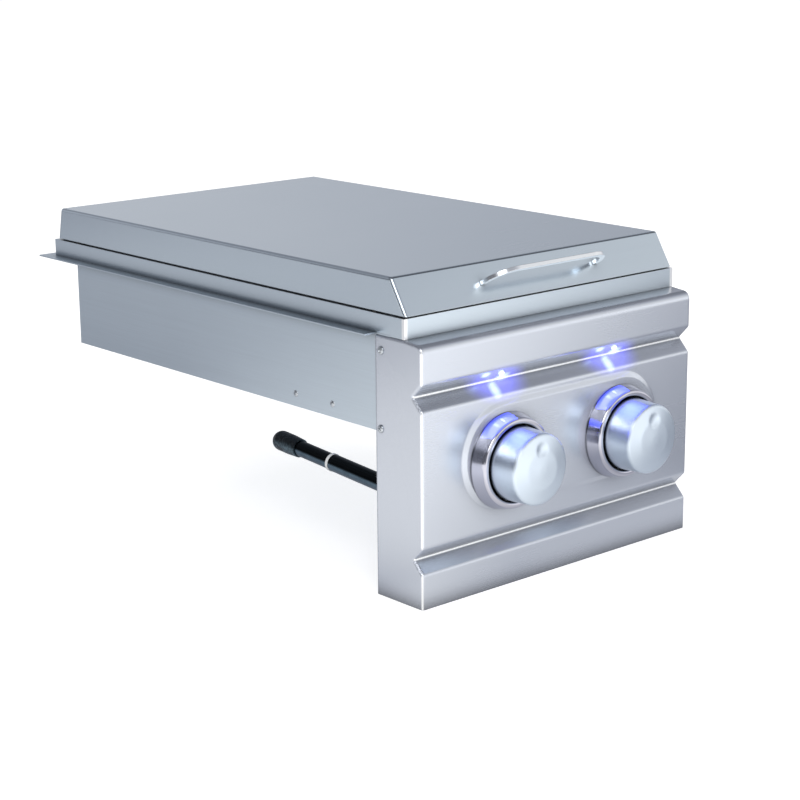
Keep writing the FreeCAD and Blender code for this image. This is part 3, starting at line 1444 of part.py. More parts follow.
def build_bumpers():
    """Four rubber bumpers on the frame, just under the closed lid's walls."""
    radius = dim("bumper_radius")
    height = dim("lid_gap") - dim("bumper_clearance")
    x = RIM_HALF - dim("bumper_inset")
    ends = (("front", dim("rim_front") + dim("bumper_end_inset")),
            ("rear", RIM_REAR - dim("bumper_end_inset")))
    bumpers = [rod(f"bumper_{end}_{side}", "Z", x * sign, y, RIM_TOP, radius, height)
               for side, sign in SIDES for end, y in ends]
    keep("lid_bumpers", group("lid_bumpers", *bumpers))


def check_and_write():
    """Stop on any failed object, then write each piece to its own file."""
    DOC.recompute()
    for thing in DOC.Objects:
        if "Invalid" in thing.State or "Error" in thing.State:
            raise RuntimeError(f"{thing.Name} failed: {thing.State}")
    for label, piece in pieces.items():
        if piece.Shape.isNull() or not piece.Shape.isValid():
            raise RuntimeError(f"{label} has no sound shape")
    os.makedirs("parts", exist_ok=True)
    for label, piece in pieces.items():
        piece.Shape.exportStep(os.path.join("parts", label + ".step"))
        print(label, len(piece.Shape.Solids), round(piece.Shape.Volume))


build_control_panel()
build_lamps()
build_bezels()
build_knobs()
build_valves()
build_rail()
build_supply_pipe()
build_burner_box()
build_side_fasteners()
build_supports()
build_top_frame()
build_burner_pan()
build_burners()
build_feed_tubes()
build_igniters()
build_igniter_leads()
build_grates()
build_lid()
build_grip()
build_hinges()
build_bumpers()
check_and_write()
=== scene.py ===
"""Dresses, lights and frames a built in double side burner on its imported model."""

import logging
import math
from dataclasses import dataclass
from enum import Enum
from functools import cache, reduce

import bmesh
import bpy
from mathutils import Matrix, Vector


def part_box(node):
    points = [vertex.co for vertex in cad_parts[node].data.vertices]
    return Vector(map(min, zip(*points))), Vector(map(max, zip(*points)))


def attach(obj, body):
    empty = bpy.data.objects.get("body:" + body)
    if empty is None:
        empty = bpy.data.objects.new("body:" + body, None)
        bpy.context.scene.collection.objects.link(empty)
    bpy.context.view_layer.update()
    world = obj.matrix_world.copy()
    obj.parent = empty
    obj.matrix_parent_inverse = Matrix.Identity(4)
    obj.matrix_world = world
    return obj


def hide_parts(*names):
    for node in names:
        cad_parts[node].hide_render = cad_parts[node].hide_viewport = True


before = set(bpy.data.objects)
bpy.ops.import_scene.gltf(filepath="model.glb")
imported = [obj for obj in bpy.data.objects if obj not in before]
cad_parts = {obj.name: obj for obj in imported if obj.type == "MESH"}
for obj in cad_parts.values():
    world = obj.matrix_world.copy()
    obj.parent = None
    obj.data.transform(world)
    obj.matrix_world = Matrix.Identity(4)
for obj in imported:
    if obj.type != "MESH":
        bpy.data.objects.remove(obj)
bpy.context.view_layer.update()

Colour = tuple[float, float, float]
Point = tuple[float, float, float]
Pair = tuple[float, float]
Socket = bpy.types.NodeSocket
Node = bpy.types.Node
Form = bmesh.types.BMesh

log = logging.getLogger("side_burner")

WHITE = (1.0, 1.0, 1.0)
KNOB_HALF_SPAN = 0.0696
KNOB_HEIGHT = -0.115
GROOVE_CREASES = (-0.0459, -0.1855)
SMOOTH_UP_TO = math.radians(32.0)
REARWARD = Vector((0.0, 1.0, 0.0))
FORWARD = Vector((0.0, -1.0, 0.0))


class Option(Enum):
    """A choice whose word stands in the nodes' names."""

    @property
    def word(self) -> str:
        """The choice's word in the nodes' names."""
        return self.name.lower()


class Side(Option):
    """The two sides that paired pieces stand on, as seen from the front."""

    LEFT = -1
    RIGHT = 1


class Row(Option):
    """The two burners, with the place of each one's axis along Y."""

    FRONT = -0.3855
    REAR = -0.1475


class Leaf(Option):
    """A hinge's two leaves, with the body that each is fixed to."""

    MOVING = "lid_assembly"
    FIXED = "burner_unit"


class Grain(Enum):
    """The way that a sheet's brush lines run, as shares of the line density along each axis."""

    ACROSS = (0.012, 1.0, 1.0)
    ALONG = (1.0, 0.012, 1.0)

    def stretched(self, density: float) -> Point:
        """Gives the noise scales per metre for lines this dense."""
        across, along, upright = self.value
        return across * density, along * density, upright * density


@dataclass(frozen=True)
class Ramp:
    """An easing from a low to a high value, as a measure goes from start to end."""

    start: float
    end: float
    low: float = 0.0
    high: float = 1.0


@dataclass(frozen=True)
class Oval:
    """A soft oval on the panel: its place across from a knob's axis, its height and its reach."""

    across: float
    height: float
    half_width: float
    half_height: float


class Graph:
    """A node tree with short calls for the nodes that the finishes and the studio use."""

    bevel_samples: int = 4
    corner_samples: int = 6
    corner_open: Pair = (0.25, 0.95)

    def __init__(self, tree: bpy.types.NodeTree) -> None:
        """Keeps the tree that the calls add to."""
        self.tree = tree

    def node(self, kind: str, inputs: dict | None = None, **settings: object) -> Node:
        """Adds one node.

        Args:
            kind: The node's type, without its ShaderNode prefix.
            inputs: Values or sockets for its inputs, by name or number.
            settings: The node's own settings.

        Returns:
            The new node.
        """
        made = self.tree.nodes.new("ShaderNode" + kind)
        for name, value in settings.items():
            setattr(made, name, value)
        for name, value in (inputs or {}).items():
            if isinstance(value, Socket):
                self.tree.links.new(value, made.inputs[name])
            else:
                made.inputs[name].default_value = value
        return made

    def link(self, source: Socket, target: Socket) -> None:
        """Joins two sockets."""
        self.tree.links.new(source, target)

    def maths(self, operation: str, *values: float | Socket) -> Socket:
        """Works out one sum.

        Args:
            operation: The Math node's operation.
            values: Its operands, as numbers or sockets.

        Returns:
            The result's socket.
        """
        return self.node("Math", dict(enumerate(values)), operation=operation).outputs[0]

    def product(self, *values: float | Socket) -> Socket:
        """Multiplies numbers and sockets, from the first to the last."""
        return reduce(lambda first, second: self.maths("MULTIPLY", first, second), values)

    def axes(self, source: str = "Object") -> tuple[Socket, Socket, Socket]:
        """Gives a texture coordinate's x, y and z, by default the object's own."""
        return tuple(self.node("SeparateXYZ", {0: self.node("TexCoord").outputs[source]}).outputs)

    def noise(self, scales: Point, detail: float = 2.0, rough: float = 0.5) -> Socket:
        """Gives a noise over the object's own coordinates.

        Args:
            scales: Spots per metre along each axis.
            detail: How many finer layers it has.
            rough: How strong the finer layers are.

        Returns:
            The noise, round 0.5.
        """
        place = self.node("VectorMath", {0: self.node("TexCoord").outputs["Object"], 1: scales},
                          operation="MULTIPLY").outputs[0]
        return self.node("TexNoise", {"Vector": place, "Scale": 1.0, "Detail": detail,
                                      "Roughness": rough}).outputs[0]

    def fade(self, value: Socket, ramp: Ramp) -> Socket:
        """Eases a measure along a ramp.

        Args:
            value: The measure.
            ramp: Where the easing starts and ends, and its values there.

        Returns:
            The eased value.
        """
        return self.node("MapRange", {"Value": value, "From Min": ramp.start, "From Max": ramp.end,
                                      "To Min": ramp.low, "To Max": ramp.high},
                         interpolation_type="SMOOTHSTEP").outputs["Result"]

    def wander(self, middle: float, *parts: tuple[Socket, float]) -> Socket:
        """Adds noises to a middle value.

        Args:
            middle: The value where every noise is at its middle.
            parts: Each noise with its full spread.

        Returns:
            The wandering value.
        """
        total = middle - sum(spread for _, spread in parts) / 2
        for noise, spread in parts:
            total = self.maths("MULTIPLY_ADD", noise, spread, total)
        return total

    def length(self, first: Socket, second: Socket) -> Socket:
        """Gives how far a point in a plane is from the plane's middle."""
        place = self.node("CombineXYZ", {0: first, 1: second}).outputs[0]
        return self.node("VectorMath", {0: place}, operation="LENGTH").outputs["Value"]

    def spot(self, first: Socket, second: Socket, oval: Oval) -> Socket:
        """Gives a soft oval spot.

        Args:
            first: The coordinate across.
            second: The coordinate upwards.
            oval: The spot's middle and reach.

        Returns:
            One in the middle, easing to zero at the edge.
        """
        across = self.maths("DIVIDE", self.maths("SUBTRACT", first, oval.across), oval.half_width)
        upward = self.maths("DIVIDE", self.maths("SUBTRACT", second, oval.height), oval.half_height)
        return self.fade(self.length(across, upward), Ramp(1.0, 0.0))

    def shaded(self, colour: Colour | Socket, shade: float | Socket) -> Socket:
        """Scales a colour's lightness."""
        return self.node("VectorMath", {0: colour, "Scale": shade}, operation="SCALE").outputs[0]

    def mixed(self, share: float | Socket, first: Colour | Socket, second: Colour | Socket) -> Socket:
        """Mixes two colours.

        Args:
            share: How much of the second there is.
            first: The colour at a share of zero.
            second: The colour at a share of one.

        Returns:
            The mixed colour.
        """
        pair = [value if isinstance(value, Socket) else (*value, 1.0) for value in (first, second)]
        return self.node("Mix", {0: share, 6: pair[0], 7: pair[1]}, data_type="RGBA").outputs[2]

    def relief(self, height: Socket, depth: float, rounding: float = 0.0) -> Socket:
        """Gives the normal of a surface with a fine relief.

        Args:
            height: The relief's height from 0 to 1.
            depth: Its depth in metres.
            rounding: The radius that edges are softened to, in metres.

        Returns:
            The bumped normal.
        """
        inputs = {"Strength": 1.0, "Distance": depth, "Height": height}
        if rounding:
            bevel = self.node("Bevel", {"Radius": rounding}, samples=self.bevel_samples)
            inputs["Normal"] = bevel.outputs[0]
        return self.node("Bump", inputs).outputs[0]

    def corner_shade(self, reach: float, darkest: float) -> Socket:
        """Gives a painted shade that darkens corners and gaps.

        Args:
            reach: How far from a corner it starts, in metres.
            darkest: The shade where a place is most closed in.

        Returns:
            The shade, one in the open.
        """
        around = self.node("AmbientOcclusion", {"Distance": reach}, samples=self.corner_samples)
        return self.fade(around.outputs["AO"], Ramp(*self.corner_open, darkest, 1.0))

    def dress(self, surface: Node, colour: Socket, gloss: Socket, normal: Socket) -> None:
        """Gives a surface shader its colour, roughness and normal."""
        for name, source in (("Base Color", colour), ("Roughness", gloss), ("Normal", normal)):
            self.link(source, surface.inputs[name])

    def overlay(self, surface: Node, share: Socket, colour: Colour) -> None:
        """Lays a colour over the base colour that a surface shader already has."""
        below = surface.inputs["Base Color"].links[0].from_socket
        self.link(self.mixed(share, below, colour), surface.inputs["Base Color"])


def from_burner(graph: Graph, row: Row) -> Socket:
    """Gives the distance from a burner's upright axis."""
    x, y, _ = graph.axes()
    return graph.length(x, graph.maths("SUBTRACT", y, row.value))


@dataclass(frozen=True)
class Finish:
    """A surface finish: its colour and gloss, with a pattern from its own paint method."""

    name: str
    colour: Colour
    roughness: float
    metallic: float = 1.0

    def paint(self, graph: Graph, surface: Node) -> None:
        """Adds the finish's pattern to its surface shader."""
        raise NotImplementedError


@cache
def material_of(finish: Finish) -> bpy.types.Material:
    """Makes a finish's material once.

    Args:
        finish: The finish.

    Returns:
        Its material.
    """
    material = bpy.data.materials.new(finish.name)
    material.use_nodes = True
    surface = material.node_tree.nodes["Principled BSDF"]
    surface.inputs["Metallic"].default_value = finish.metallic
    surface.inputs["Roughness"].default_value = finish.roughness
    surface.inputs["Base Color"].default_value = (*finish.colour, 1.0)
    finish.paint(Graph(material.node_tree), surface)
    return material


@dataclass(frozen=True)
class BrushedSteel(Finish):
    """Sheet steel brushed one way, with soft clouds from handling."""

    grain: Grain = Grain.ACROSS
    streaks: float = 0.10
    rounding: float = 0.0007
    # The corner reach and darkness below set the painted shade in corners and gaps.
    corner_reach: float = 0.014
    corner_dark: float = 0.25
    line_density: float = 1500.0
    line_rough: float = 0.6
    line_height: float = 0.00006
    band_density: float = 240.0
    band_share: float = 0.6
    gloss_share: float = 0.5
    cloud_scales: Point = (7.0, 7.0, 9.0)
    detail: float = 3.0

    def paint(self, graph: Graph, surface: Node) -> None:
        """Adds brush lines to the colour, gloss and relief.

        Args:
            graph: The material's nodes.
            surface: Its surface shader.
        """
        lines = graph.noise(self.grain.stretched(self.line_density), self.detail, self.line_rough)
        bands = graph.noise(self.grain.stretched(self.band_density))
        clouds = graph.noise(self.cloud_scales, self.detail)
        shade = graph.wander(1.0, (lines, self.streaks), (bands, self.streaks * self.band_share),
                             (clouds, self.streaks))
        # Painted shade: ambient occlusion darkens the steel in corners and gaps.
        shade = graph.product(shade, graph.corner_shade(self.corner_reach, self.corner_dark))
        gloss = graph.wander(self.roughness, (lines, self.streaks * self.gloss_share), (clouds, self.streaks))
        normal = graph.relief(lines, self.streaks * self.line_height, self.rounding)
        graph.dress(surface, graph.shaded(self.colour, shade), gloss, normal)


@dataclass(frozen=True)
class FoldedSteel(BrushedSteel):
    """Brushed steel with a painted highlight along the upright folds at its front corners."""

    burnish: Colour = (0.96, 0.97, 0.98)
    fold_reach: Ramp = Ramp(0.1596, 0.1618)
    fold_depth: Ramp = Ramp(-0.5115, -0.5137)

    def paint(self, graph: Graph, surface: Node) -> None:
        """Adds the painted highlight along the folds to the brushed steel.

        Args:
            graph: The material's nodes.
            surface: Its surface shader.
        """
        super().paint(graph, surface)
        x, y, _ = graph.axes()
        # Painted highlight: a near-white band along each front corner's upright fold.
        outward = graph.fade(graph.maths("ABSOLUTE", x), self.fold_reach)
        graph.overlay(surface, graph.product(outward, graph.fade(y, self.fold_depth)), self.burnish)


@dataclass(frozen=True)
class LitPanelSteel(FoldedSteel):
    """The control panel's brushed steel, with painted highlights along its folds and creases and its groove
    lamps' glow painted on as emission.
    """

    crease_half: float = 0.1645
    crease: Ramp = Ramp(0.0013, 0.0004)
    # Painted light: the colours and ovals below give the lamps' glow and reflections on the panel.
    glow: Colour = (0.13, 0.13, 1.15)
    halo: Oval = Oval(-0.003, -0.0480, 0.040, 0.0190)
    core: Colour = (0.62, 0.86, 1.0)
    cores: tuple[Oval, ...] = (Oval(-0.0195, -0.0385, 0.0070, 0.0036), Oval(0.0050, -0.0440, 0.0110, 0.0046),
                               Oval(-0.0088, -0.0535, 0.0078, 0.0085))

    def paint(self, graph: Graph, surface: Node) -> None:
        """Adds the painted crease highlights and the lamps' painted glow and painted reflections to the
        brushed steel.

        Args:
            graph: The material's nodes.
            surface: Its surface shader.
        """
        super().paint(graph, surface)
        x, _, z = graph.axes()
        outer = graph.maths("LESS_THAN", graph.axes("Normal")[1], 0.0)
        inside = graph.maths("LESS_THAN", graph.maths("ABSOLUTE", x), self.crease_half)
        # Painted highlight: a near-white line along each groove's crease, on the outer face.
        for height in GROOVE_CREASES:
            away = graph.maths("ABSOLUTE", graph.maths("SUBTRACT", z, height))
            graph.overlay(surface, graph.product(graph.fade(away, self.crease), outer, inside), self.burnish)
        # Painted light: a blue emission halo round each lamp, with brighter cores as painted reflections of
        # the lamp.
        across = graph.maths("SUBTRACT", x, graph.product(graph.maths("SIGN", x), KNOB_HALF_SPAN))
        light = graph.shaded(self.glow, graph.spot(across, z, self.halo))
        for oval in self.cores:
            core = graph.shaded(self.core, graph.spot(across, z, oval))
            light = graph.node("VectorMath", {0: light, 1: core}, operation="ADD").outputs[0]
        graph.link(graph.shaded(light, outer), surface.inputs["Emission Color"])
        surface.inputs["Emission Strength"].default_value = 1.0


@dataclass(frozen=True)
class LidSteel(BrushedSteel):
    """The lid's brushed steel, with a painted shade line along its top's bent edge."""

    below: Ramp = Ramp(0.0480, 0.0484)
    above: Ramp = Ramp(0.0491, 0.0487)
    front: Ramp = Ramp(-0.4930, -0.4955)
    dark: float = 0.35

    def paint(self, graph: Graph, surface: Node) -> None:
        """Adds the painted shade line along the bent edge to the brushed steel.

        Args:
            graph: The material's nodes.
            surface: Its surface shader.
        """
        super().paint(graph, surface)
        _, depth, height = graph.axes()
        # Painted shade: a dark line where the top bends down at the front.
        line = graph.product(graph.fade(height, self.below), graph.fade(height, self.above),
                             graph.fade(depth, self.front))
        shade = graph.maths("MULTIPLY_ADD", line, self.dark - 1.0, 1.0)
        steel = surface.inputs["Base Color"].links[0].from_socket
        graph.link(graph.shaded(steel, shade), surface.inputs["Base Color"])


@dataclass(frozen=True)
class TurnedMetal(Finish):
    """Metal turned on a lathe, with fine rings round the knobs' axes."""

    depth: float = 0.000003
    rounding: float = 0.0
    corner_reach: float = 0.003
    corner_dark: float = 0.10
    ring_density: float = 2600.0
    cloud_scale: float = 40.0
    shade_spread: float = 0.08
    gloss_spread: float = 0.06

    def distance(self, graph: Graph) -> Socket:
        """Gives the distance from the nearest turning axis.

        Args:
            graph: The material's nodes.

        Returns:
            The distance in metres.
        """
        x, _, z = graph.axes()
        across = graph.maths("SUBTRACT", graph.maths("ABSOLUTE", x), KNOB_HALF_SPAN)
        return graph.length(across, graph.maths("SUBTRACT", z, KNOB_HEIGHT))

    def paint(self, graph: Graph, surface: Node) -> None:
        """Adds the turned rings to the colour, gloss and relief.

        Args:
            graph: The material's nodes.
            surface: Its surface shader.
        """
        reach = graph.product(self.distance(graph), self.ring_density)
        rings = graph.node("TexNoise", {"W": reach, "Scale": 1.0, "Detail": 2.0},
                           noise_dimensions="1D").outputs[0]
        clouds = graph.noise((self.cloud_scale,) * 3)
        shade = graph.wander(1.0, (rings, self.shade_spread), (clouds, self.shade_spread))
        # Painted shade: ambient occlusion darkens the metal in gaps and corners.
        shade = graph.product(shade, graph.corner_shade(self.corner_reach, self.corner_dark))
        gloss = graph.wander(self.roughness, (rings, self.gloss_spread), (clouds, self.gloss_spread))
        graph.dress(surface, graph.shaded(self.colour, shade), gloss,
                    graph.relief(rings, self.depth, self.rounding))


@dataclass(frozen=True)
class TurnedBurnerMetal(TurnedMetal):
    """Metal turned round the burners' upright axes."""

    def distance(self, graph: Graph) -> Socket:
        """Gives the distance from the nearest burner's axis."""
        return graph.maths("MINIMUM", *(from_burner(graph, row) for row in Row))


@dataclass(frozen=True)
class Mottled(Finish):
    """A finish whose colour, gloss and height wander between two shades."""

    other: Colour = (0.5, 0.5, 0.5)
    spot: float = 0.002
    depth: float = 0.00002
    rough: float = 0.55
    detail: float = 3.0
    cloud_share: float = 0.2
    colour_spread: float = 0.9
    gloss_spread: float = 0.12
    contrast: Ramp = Ramp(0.25, 0.75)

    def paint(self, graph: Graph, surface: Node) -> None:
        """Adds the spots to the colour, gloss and relief.

        Args:
            graph: The material's nodes.
            surface: Its surface shader.
        """
        grains = graph.noise((1 / self.spot,) * 3, self.detail, self.rough)
        clouds = graph.noise((self.cloud_share / self.spot,) * 3)
        share = graph.wander(0.5, (grains, self.colour_spread), (clouds, self.colour_spread))
        gloss = graph.wander(self.roughness, (grains, self.gloss_spread), (clouds, self.gloss_spread))
        graph.dress(surface, graph.mixed(graph.fade(share, self.contrast), self.colour, self.other), gloss,
                    graph.relief(grains, self.depth))


@dataclass(frozen=True)
class Sooted(Mottled):
    """Blackened metal with a painted shade that darkens its upper side."""

    soot: Colour = (0.004, 0.006, 0.008)
    rise: Ramp = Ramp(-0.05, 0.30)

    def paint(self, graph: Graph, surface: Node) -> None:
        """Lays the painted shade over the mottled metal's upper side."""
        super().paint(graph, surface)
        # Painted shade: darker where the surface faces up.
        graph.overlay(surface, graph.fade(graph.axes("Normal")[2], self.rise), self.soot)


@dataclass(frozen=True)
class HeatTinted(Mottled):
    """Metal near the flames, with straw and blue heat tints by its distance from a burner."""

    straw: Colour = (0.55, 0.40, 0.20)
    straw_reach: Ramp = Ramp(0.085, 0.060)
    blue: Colour = (0.16, 0.20, 0.38)
    blue_reach: Ramp = Ramp(0.060, 0.038)
    strength: float = 0.7
    waver: float = 0.03
    waver_scale: float = 30.0

    def paint(self, graph: Graph, surface: Node) -> None:
        """Adds the tints over the mottled metal.

        Args:
            graph: The material's nodes.
            surface: Its surface shader.
        """
        super().paint(graph, surface)
        waver = graph.wander(0.0, (graph.noise((self.waver_scale,) * 3), self.waver))
        for row in Row:
            reach = graph.maths("ADD", from_burner(graph, row), waver)
            for ramp, tint in ((self.straw_reach, self.straw), (self.blue_reach, self.blue)):
                graph.overlay(surface, graph.product(graph.fade(reach, ramp), self.strength), tint)


@dataclass(frozen=True)
class TippedCeramic(Mottled):
    """Glazed ceramic whose electrode, above its top, is bare wire."""

    wire: Colour = (0.34, 0.33, 0.32)
    top: float = -0.0178

    def paint(self, graph: Graph, surface: Node) -> None:
        """Adds the electrode's colour above the ceramic."""
        super().paint(graph, surface)
        graph.overlay(surface, graph.maths("GREATER_THAN", graph.axes()[2], self.top), self.wire)


@dataclass(frozen=True)
class LitLens(Finish):
    """A lamp lens that shines from within, whitest in its middle."""

    metallic: float = 0.0
    edge: Colour = (0.25, 0.35, 1.0)
    edge_blend: float = 0.35
    strength: float = 1.6
    speck_scale: float = 900.0
    speck_spread: float = 0.1

    def paint(self, graph: Graph, surface: Node) -> None:
        """Lights the lens, bluer where it is seen at a slant.

        Args:
            graph: The material's nodes.
            surface: Its surface shader.
        """
        facing = graph.node("LayerWeight", {"Blend": self.edge_blend}).outputs["Facing"]
        speck = graph.noise((self.speck_scale,) * 3)
        graph.link(graph.mixed(facing, self.colour, self.edge), surface.inputs["Emission Color"])
        graph.link(graph.wander(self.roughness, (speck, self.speck_spread)), surface.inputs["Roughness"])
        surface.inputs["Emission Strength"].default_value = self.strength


STEEL = (0.595, 0.668, 0.735)
# The panel's steel has painted shade in corners, painted highlights on folds and creases, and the lamps'
# painted glow.
PANEL_STEEL = LitPanelSteel(
    "panel steel", (0.625, 0.658, 0.725), roughness=0.27, streaks=0.022, rounding=0.0022, corner_reach=0.022,
    corner_dark=0.10, fold_reach=Ramp(0.1632, 0.1643), fold_depth=Ramp(-0.5353, -0.5365))
LID_STEEL = LidSteel("lid steel", STEEL, roughness=0.26, streaks=0.05)
# The top frame's steel carries a painted highlight along its front folds.
SHEET_ACROSS = FoldedSteel("steel brushed across", STEEL, roughness=0.30, streaks=0.05)
SHEET_ALONG = BrushedSteel("steel brushed along", STEEL, roughness=0.36, grain=Grain.ALONG)
# Polished trim steel for the grip and hinge leaves; its near-white colour is partly a painted highlight on
# the grip's hem.
BRIGHT_STEEL = BrushedSteel(
    "bright trim steel", (0.93, 0.95, 0.97), roughness=0.17, streaks=0.05, corner_reach=0.004)
POLISHED_RING = TurnedMetal("polished ring", (0.54, 0.54, 0.61), roughness=0.10, depth=0.000002)
SATIN_KNOB = TurnedMetal("satin knob metal", (0.66, 0.74, 0.83), roughness=0.31, rounding=0.004)
BURNER_BRASS = TurnedBurnerMetal("burner brass", (0.60, 0.43, 0.17), roughness=0.34, depth=0.00001)
PLAIN_BRASS = Mottled("machined brass", (0.66, 0.49, 0.20), roughness=0.30, other=(0.54, 0.38, 0.15))
PLATED = Mottled("zinc plate", (0.55, 0.58, 0.61), roughness=0.32, other=(0.47, 0.50, 0.53), spot=0.004)
ALUMINIUM = Mottled("drawn aluminium tube", (0.70, 0.71, 0.72), roughness=0.34, other=(0.60, 0.61, 0.63))
CAST_IRON = HeatTinted(
    "cast burner iron", (0.10, 0.095, 0.09), roughness=0.62, other=(0.17, 0.155, 0.14), spot=0.0012,
    depth=0.00025, strength=0.25)
PAN_STEEL = HeatTinted(
    "pan steel", (0.56, 0.58, 0.61), roughness=0.34, other=(0.50, 0.52, 0.55), spot=0.01, strength=0.35)
GRATE_ROD = HeatTinted("grate rod steel", (0.56, 0.57, 0.59), roughness=0.28, other=(0.48, 0.49, 0.52))
# The pipe, nipple and cap carry a painted shade on their upper sides.
PIPE_BLACK = Sooted(
    "blackened pipe", (0.085, 0.13, 0.175), roughness=0.24, metallic=0.92, other=(0.06, 0.095, 0.13),
    spot=0.0015, depth=0.00003)
CAP_BLACK = Sooted(
    "wrinkled black cap", (0.018, 0.026, 0.034), roughness=0.32, metallic=0.70, other=(0.10, 0.15, 0.185),
    spot=0.0024, depth=0.0008, rough=0.4, soot=(0.012, 0.016, 0.02), rise=Ramp(-0.10, 0.60))
SEAL_WHITE = Mottled(
    "white seal", (0.97, 0.98, 0.98), roughness=0.45, metallic=0.0, other=(0.92, 0.93, 0.94), spot=0.001)
LEAD_BLACK = Mottled(
    "black insulation", (0.016, 0.016, 0.018), roughness=0.45, metallic=0.0, other=(0.03, 0.03, 0.033))
MOULDED_BLACK = Mottled(
    "black moulding", (0.02, 0.02, 0.022), roughness=0.50, metallic=0.0, other=(0.035, 0.035, 0.038),
    spot=0.0006, depth=0.00004)
RUBBER = Mottled(
    "bumper rubber", (0.018, 0.018, 0.018), roughness=0.80, metallic=0.0, other=(0.03, 0.029, 0.028),
    spot=0.0008, depth=0.00005)
CERAMIC = TippedCeramic(
    "igniter ceramic", (0.82, 0.80, 0.75), roughness=0.22, metallic=0.0, other=(0.74, 0.71, 0.65),
    depth=0.00001)
LENS = LitLens("blue lens", (0.80, 0.93, 1.0), roughness=0.15)
BURNER_FINISHES = {"burner_bowl": CAST_IRON, "burner_ring": BURNER_BRASS, "burner_cap": BURNER_BRASS,
                   "air_shutter": PLATED, "gas_jet": PLAIN_BRASS, "feed_tube": ALUMINIUM,
                   "igniter": CERAMIC, "grate": GRATE_ROD}


def dressed(finish: Finish, *names: str) -> list[str]:
    """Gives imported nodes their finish.

    Args:
        finish: The finish.
        names: The nodes' names.

    Returns:
        The names, for the report.
    """
    for name in names:
        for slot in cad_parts[name].material_slots:
            slot.material = material_of(finish)
    return list(names)


def both(stem: str) -> list[str]:
    """Names the left and the right node of a pair."""
    return [f"{stem}_{side.word}" for side in Side]


def new_piece(name: str, form: Form, body: str, finish: Finish) -> bpy.types.Object:
    """Makes a scene piece from a finished form.

    Args:
        name: The piece's name.
        form: Its form in the row frame, which is freed.
        body: The body that it moves with.
        finish: Its finish.

    Returns:
        The new object.
    """
    bmesh.ops.recalc_face_normals(form, faces=form.faces)
    mesh = bpy.data.meshes.new(name)
    form.to_mesh(mesh)
    form.free()
    mesh.shade_smooth()
    mesh.set_sharp_from_angle(angle=SMOOTH_UP_TO)
    piece = bpy.data.objects.new(name, mesh)
    bpy.context.scene.collection.objects.link(piece)
    mesh.materials.append(material_of(finish))
    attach(piece, body)
    return piece


def join_rings(form: Form, rings: list[list]) -> None:
    """Makes the faces between each ring of vertices and the next.

    Args:
        form: The form that gets the faces.
        rings: The rings, which all have as many vertices.
    """
    for upper, lower in zip(rings, rings[1:]):
        for step in range(len(upper)):
            after = (step + 1) % len(upper)
            form.faces.new((upper[step], upper[after], lower[after], lower[step]))


def lathe(form: Form, profile: list[Pair], segments: int) -> list[list]:
    """Turns a profile round Z.

    Args:
        form: The form that gets the faces.
        profile: Radius and height of each ring, from the top down.
        segments: How many sides a ring has.

    Returns:
        The rings' vertices.
    """
    turns = [step * math.tau / segments for step in range(segments)]
    rings = [[form.verts.new((radius * math.cos(turn), radius * math.sin(turn), height)) for turn in turns]
             for radius, height in profile]
    join_rings(form, rings)
    return rings


def towards(place: Vector, outward: Vector, turn: float = 0.0) -> Matrix:
    """Gives the matrix that stands a form on a place.

    Args:
        place: Where the form's foot is.
        outward: The way that its Z axis points.
        turn: How far it is turned round that axis, in radians.

    Returns:
        The placing matrix.
    """
    stand = outward.to_track_quat("Z", "Y").to_matrix().to_4x4()
    return Matrix.Translation(place) @ stand @ Matrix.Rotation(turn, 4, "Z")


def surface_at(node: str, start: Point, aim: Vector) -> tuple[Vector, Vector]:
    """Finds where a line from outside first meets a node.

    Args:
        node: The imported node.
        start: A point outside it.
        aim: The line's direction.

    Returns:
        The point and the outward normal there.
    """
    found, place, normal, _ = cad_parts[node].ray_cast(Vector(start), aim)
    if not found:
        raise ValueError(f"no surface of {node} from {start} along {aim}")
    return place, normal


@dataclass(frozen=True)
class CrossScrew:
    """A pan head screw with a cross recess."""

    radius: float = 0.0034
    height: float = 0.0018
    rim_share: float = 0.35
    crown_angles: tuple[float, ...] = (58, 45, 32, 20, 9, 0)
    foot_hole: float = 0.0005
    recess: float = 0.0018
    recess_depth: float = 0.0012
    slot_half: float = 0.00045
    floor_share: float = 0.55
    segments: int = 28

    def cross(self, level: float) -> list[Vector]:
        """Gives the recess's corners in order round the axis.

        Args:
            level: Their height.

        Returns:
            The corners, three for each arm.
        """
        half, reach = self.slot_half, self.recess
        arm = [Vector((half, half, level)), Vector((reach, half, level)), Vector((reach, -half, level))]
        turns = [Matrix.Rotation(turn * math.pi / 2, 4, "Z") for turn in range(4)]
        corners = [turn @ corner for turn in turns for corner in arm]
        return sorted(corners, key=lambda corner: math.atan2(corner.y, corner.x))

    def form(self) -> Form:
        """Builds the head with its foot on the origin.

        Returns:
            The form.
        """
        form = bmesh.new()
        arc = [(self.radius * math.cos(angle),
                self.height * (self.rim_share + (1.0 - self.rim_share) * math.sin(angle)))
               for angle in map(math.radians, self.crown_angles)]
        crown = arc[0][1]
        rings = lathe(form, arc + [(self.radius, 0.0), (self.foot_hole, 0.0)], self.segments)
        corners = self.cross(crown)
        cross = [form.verts.new(corner) for corner in corners]
        floor = [form.verts.new((corner.x * self.floor_share, corner.y * self.floor_share,
                                 crown - self.recess_depth)) for corner in corners]
        edges = [form.edges.new((cross[step - 1], cross[step])) for step in range(len(cross))]
        rim = [form.edges.get((rings[0][step - 1], rings[0][step])) for step in range(self.segments)]
        bmesh.ops.triangle_fill(form, use_beauty=True, edges=edges + rim)
        for step in range(len(cross)):
            form.faces.new((cross[step - 1], cross[step], floor[step], floor[step - 1]))
        form.faces.new(floor)
        return form


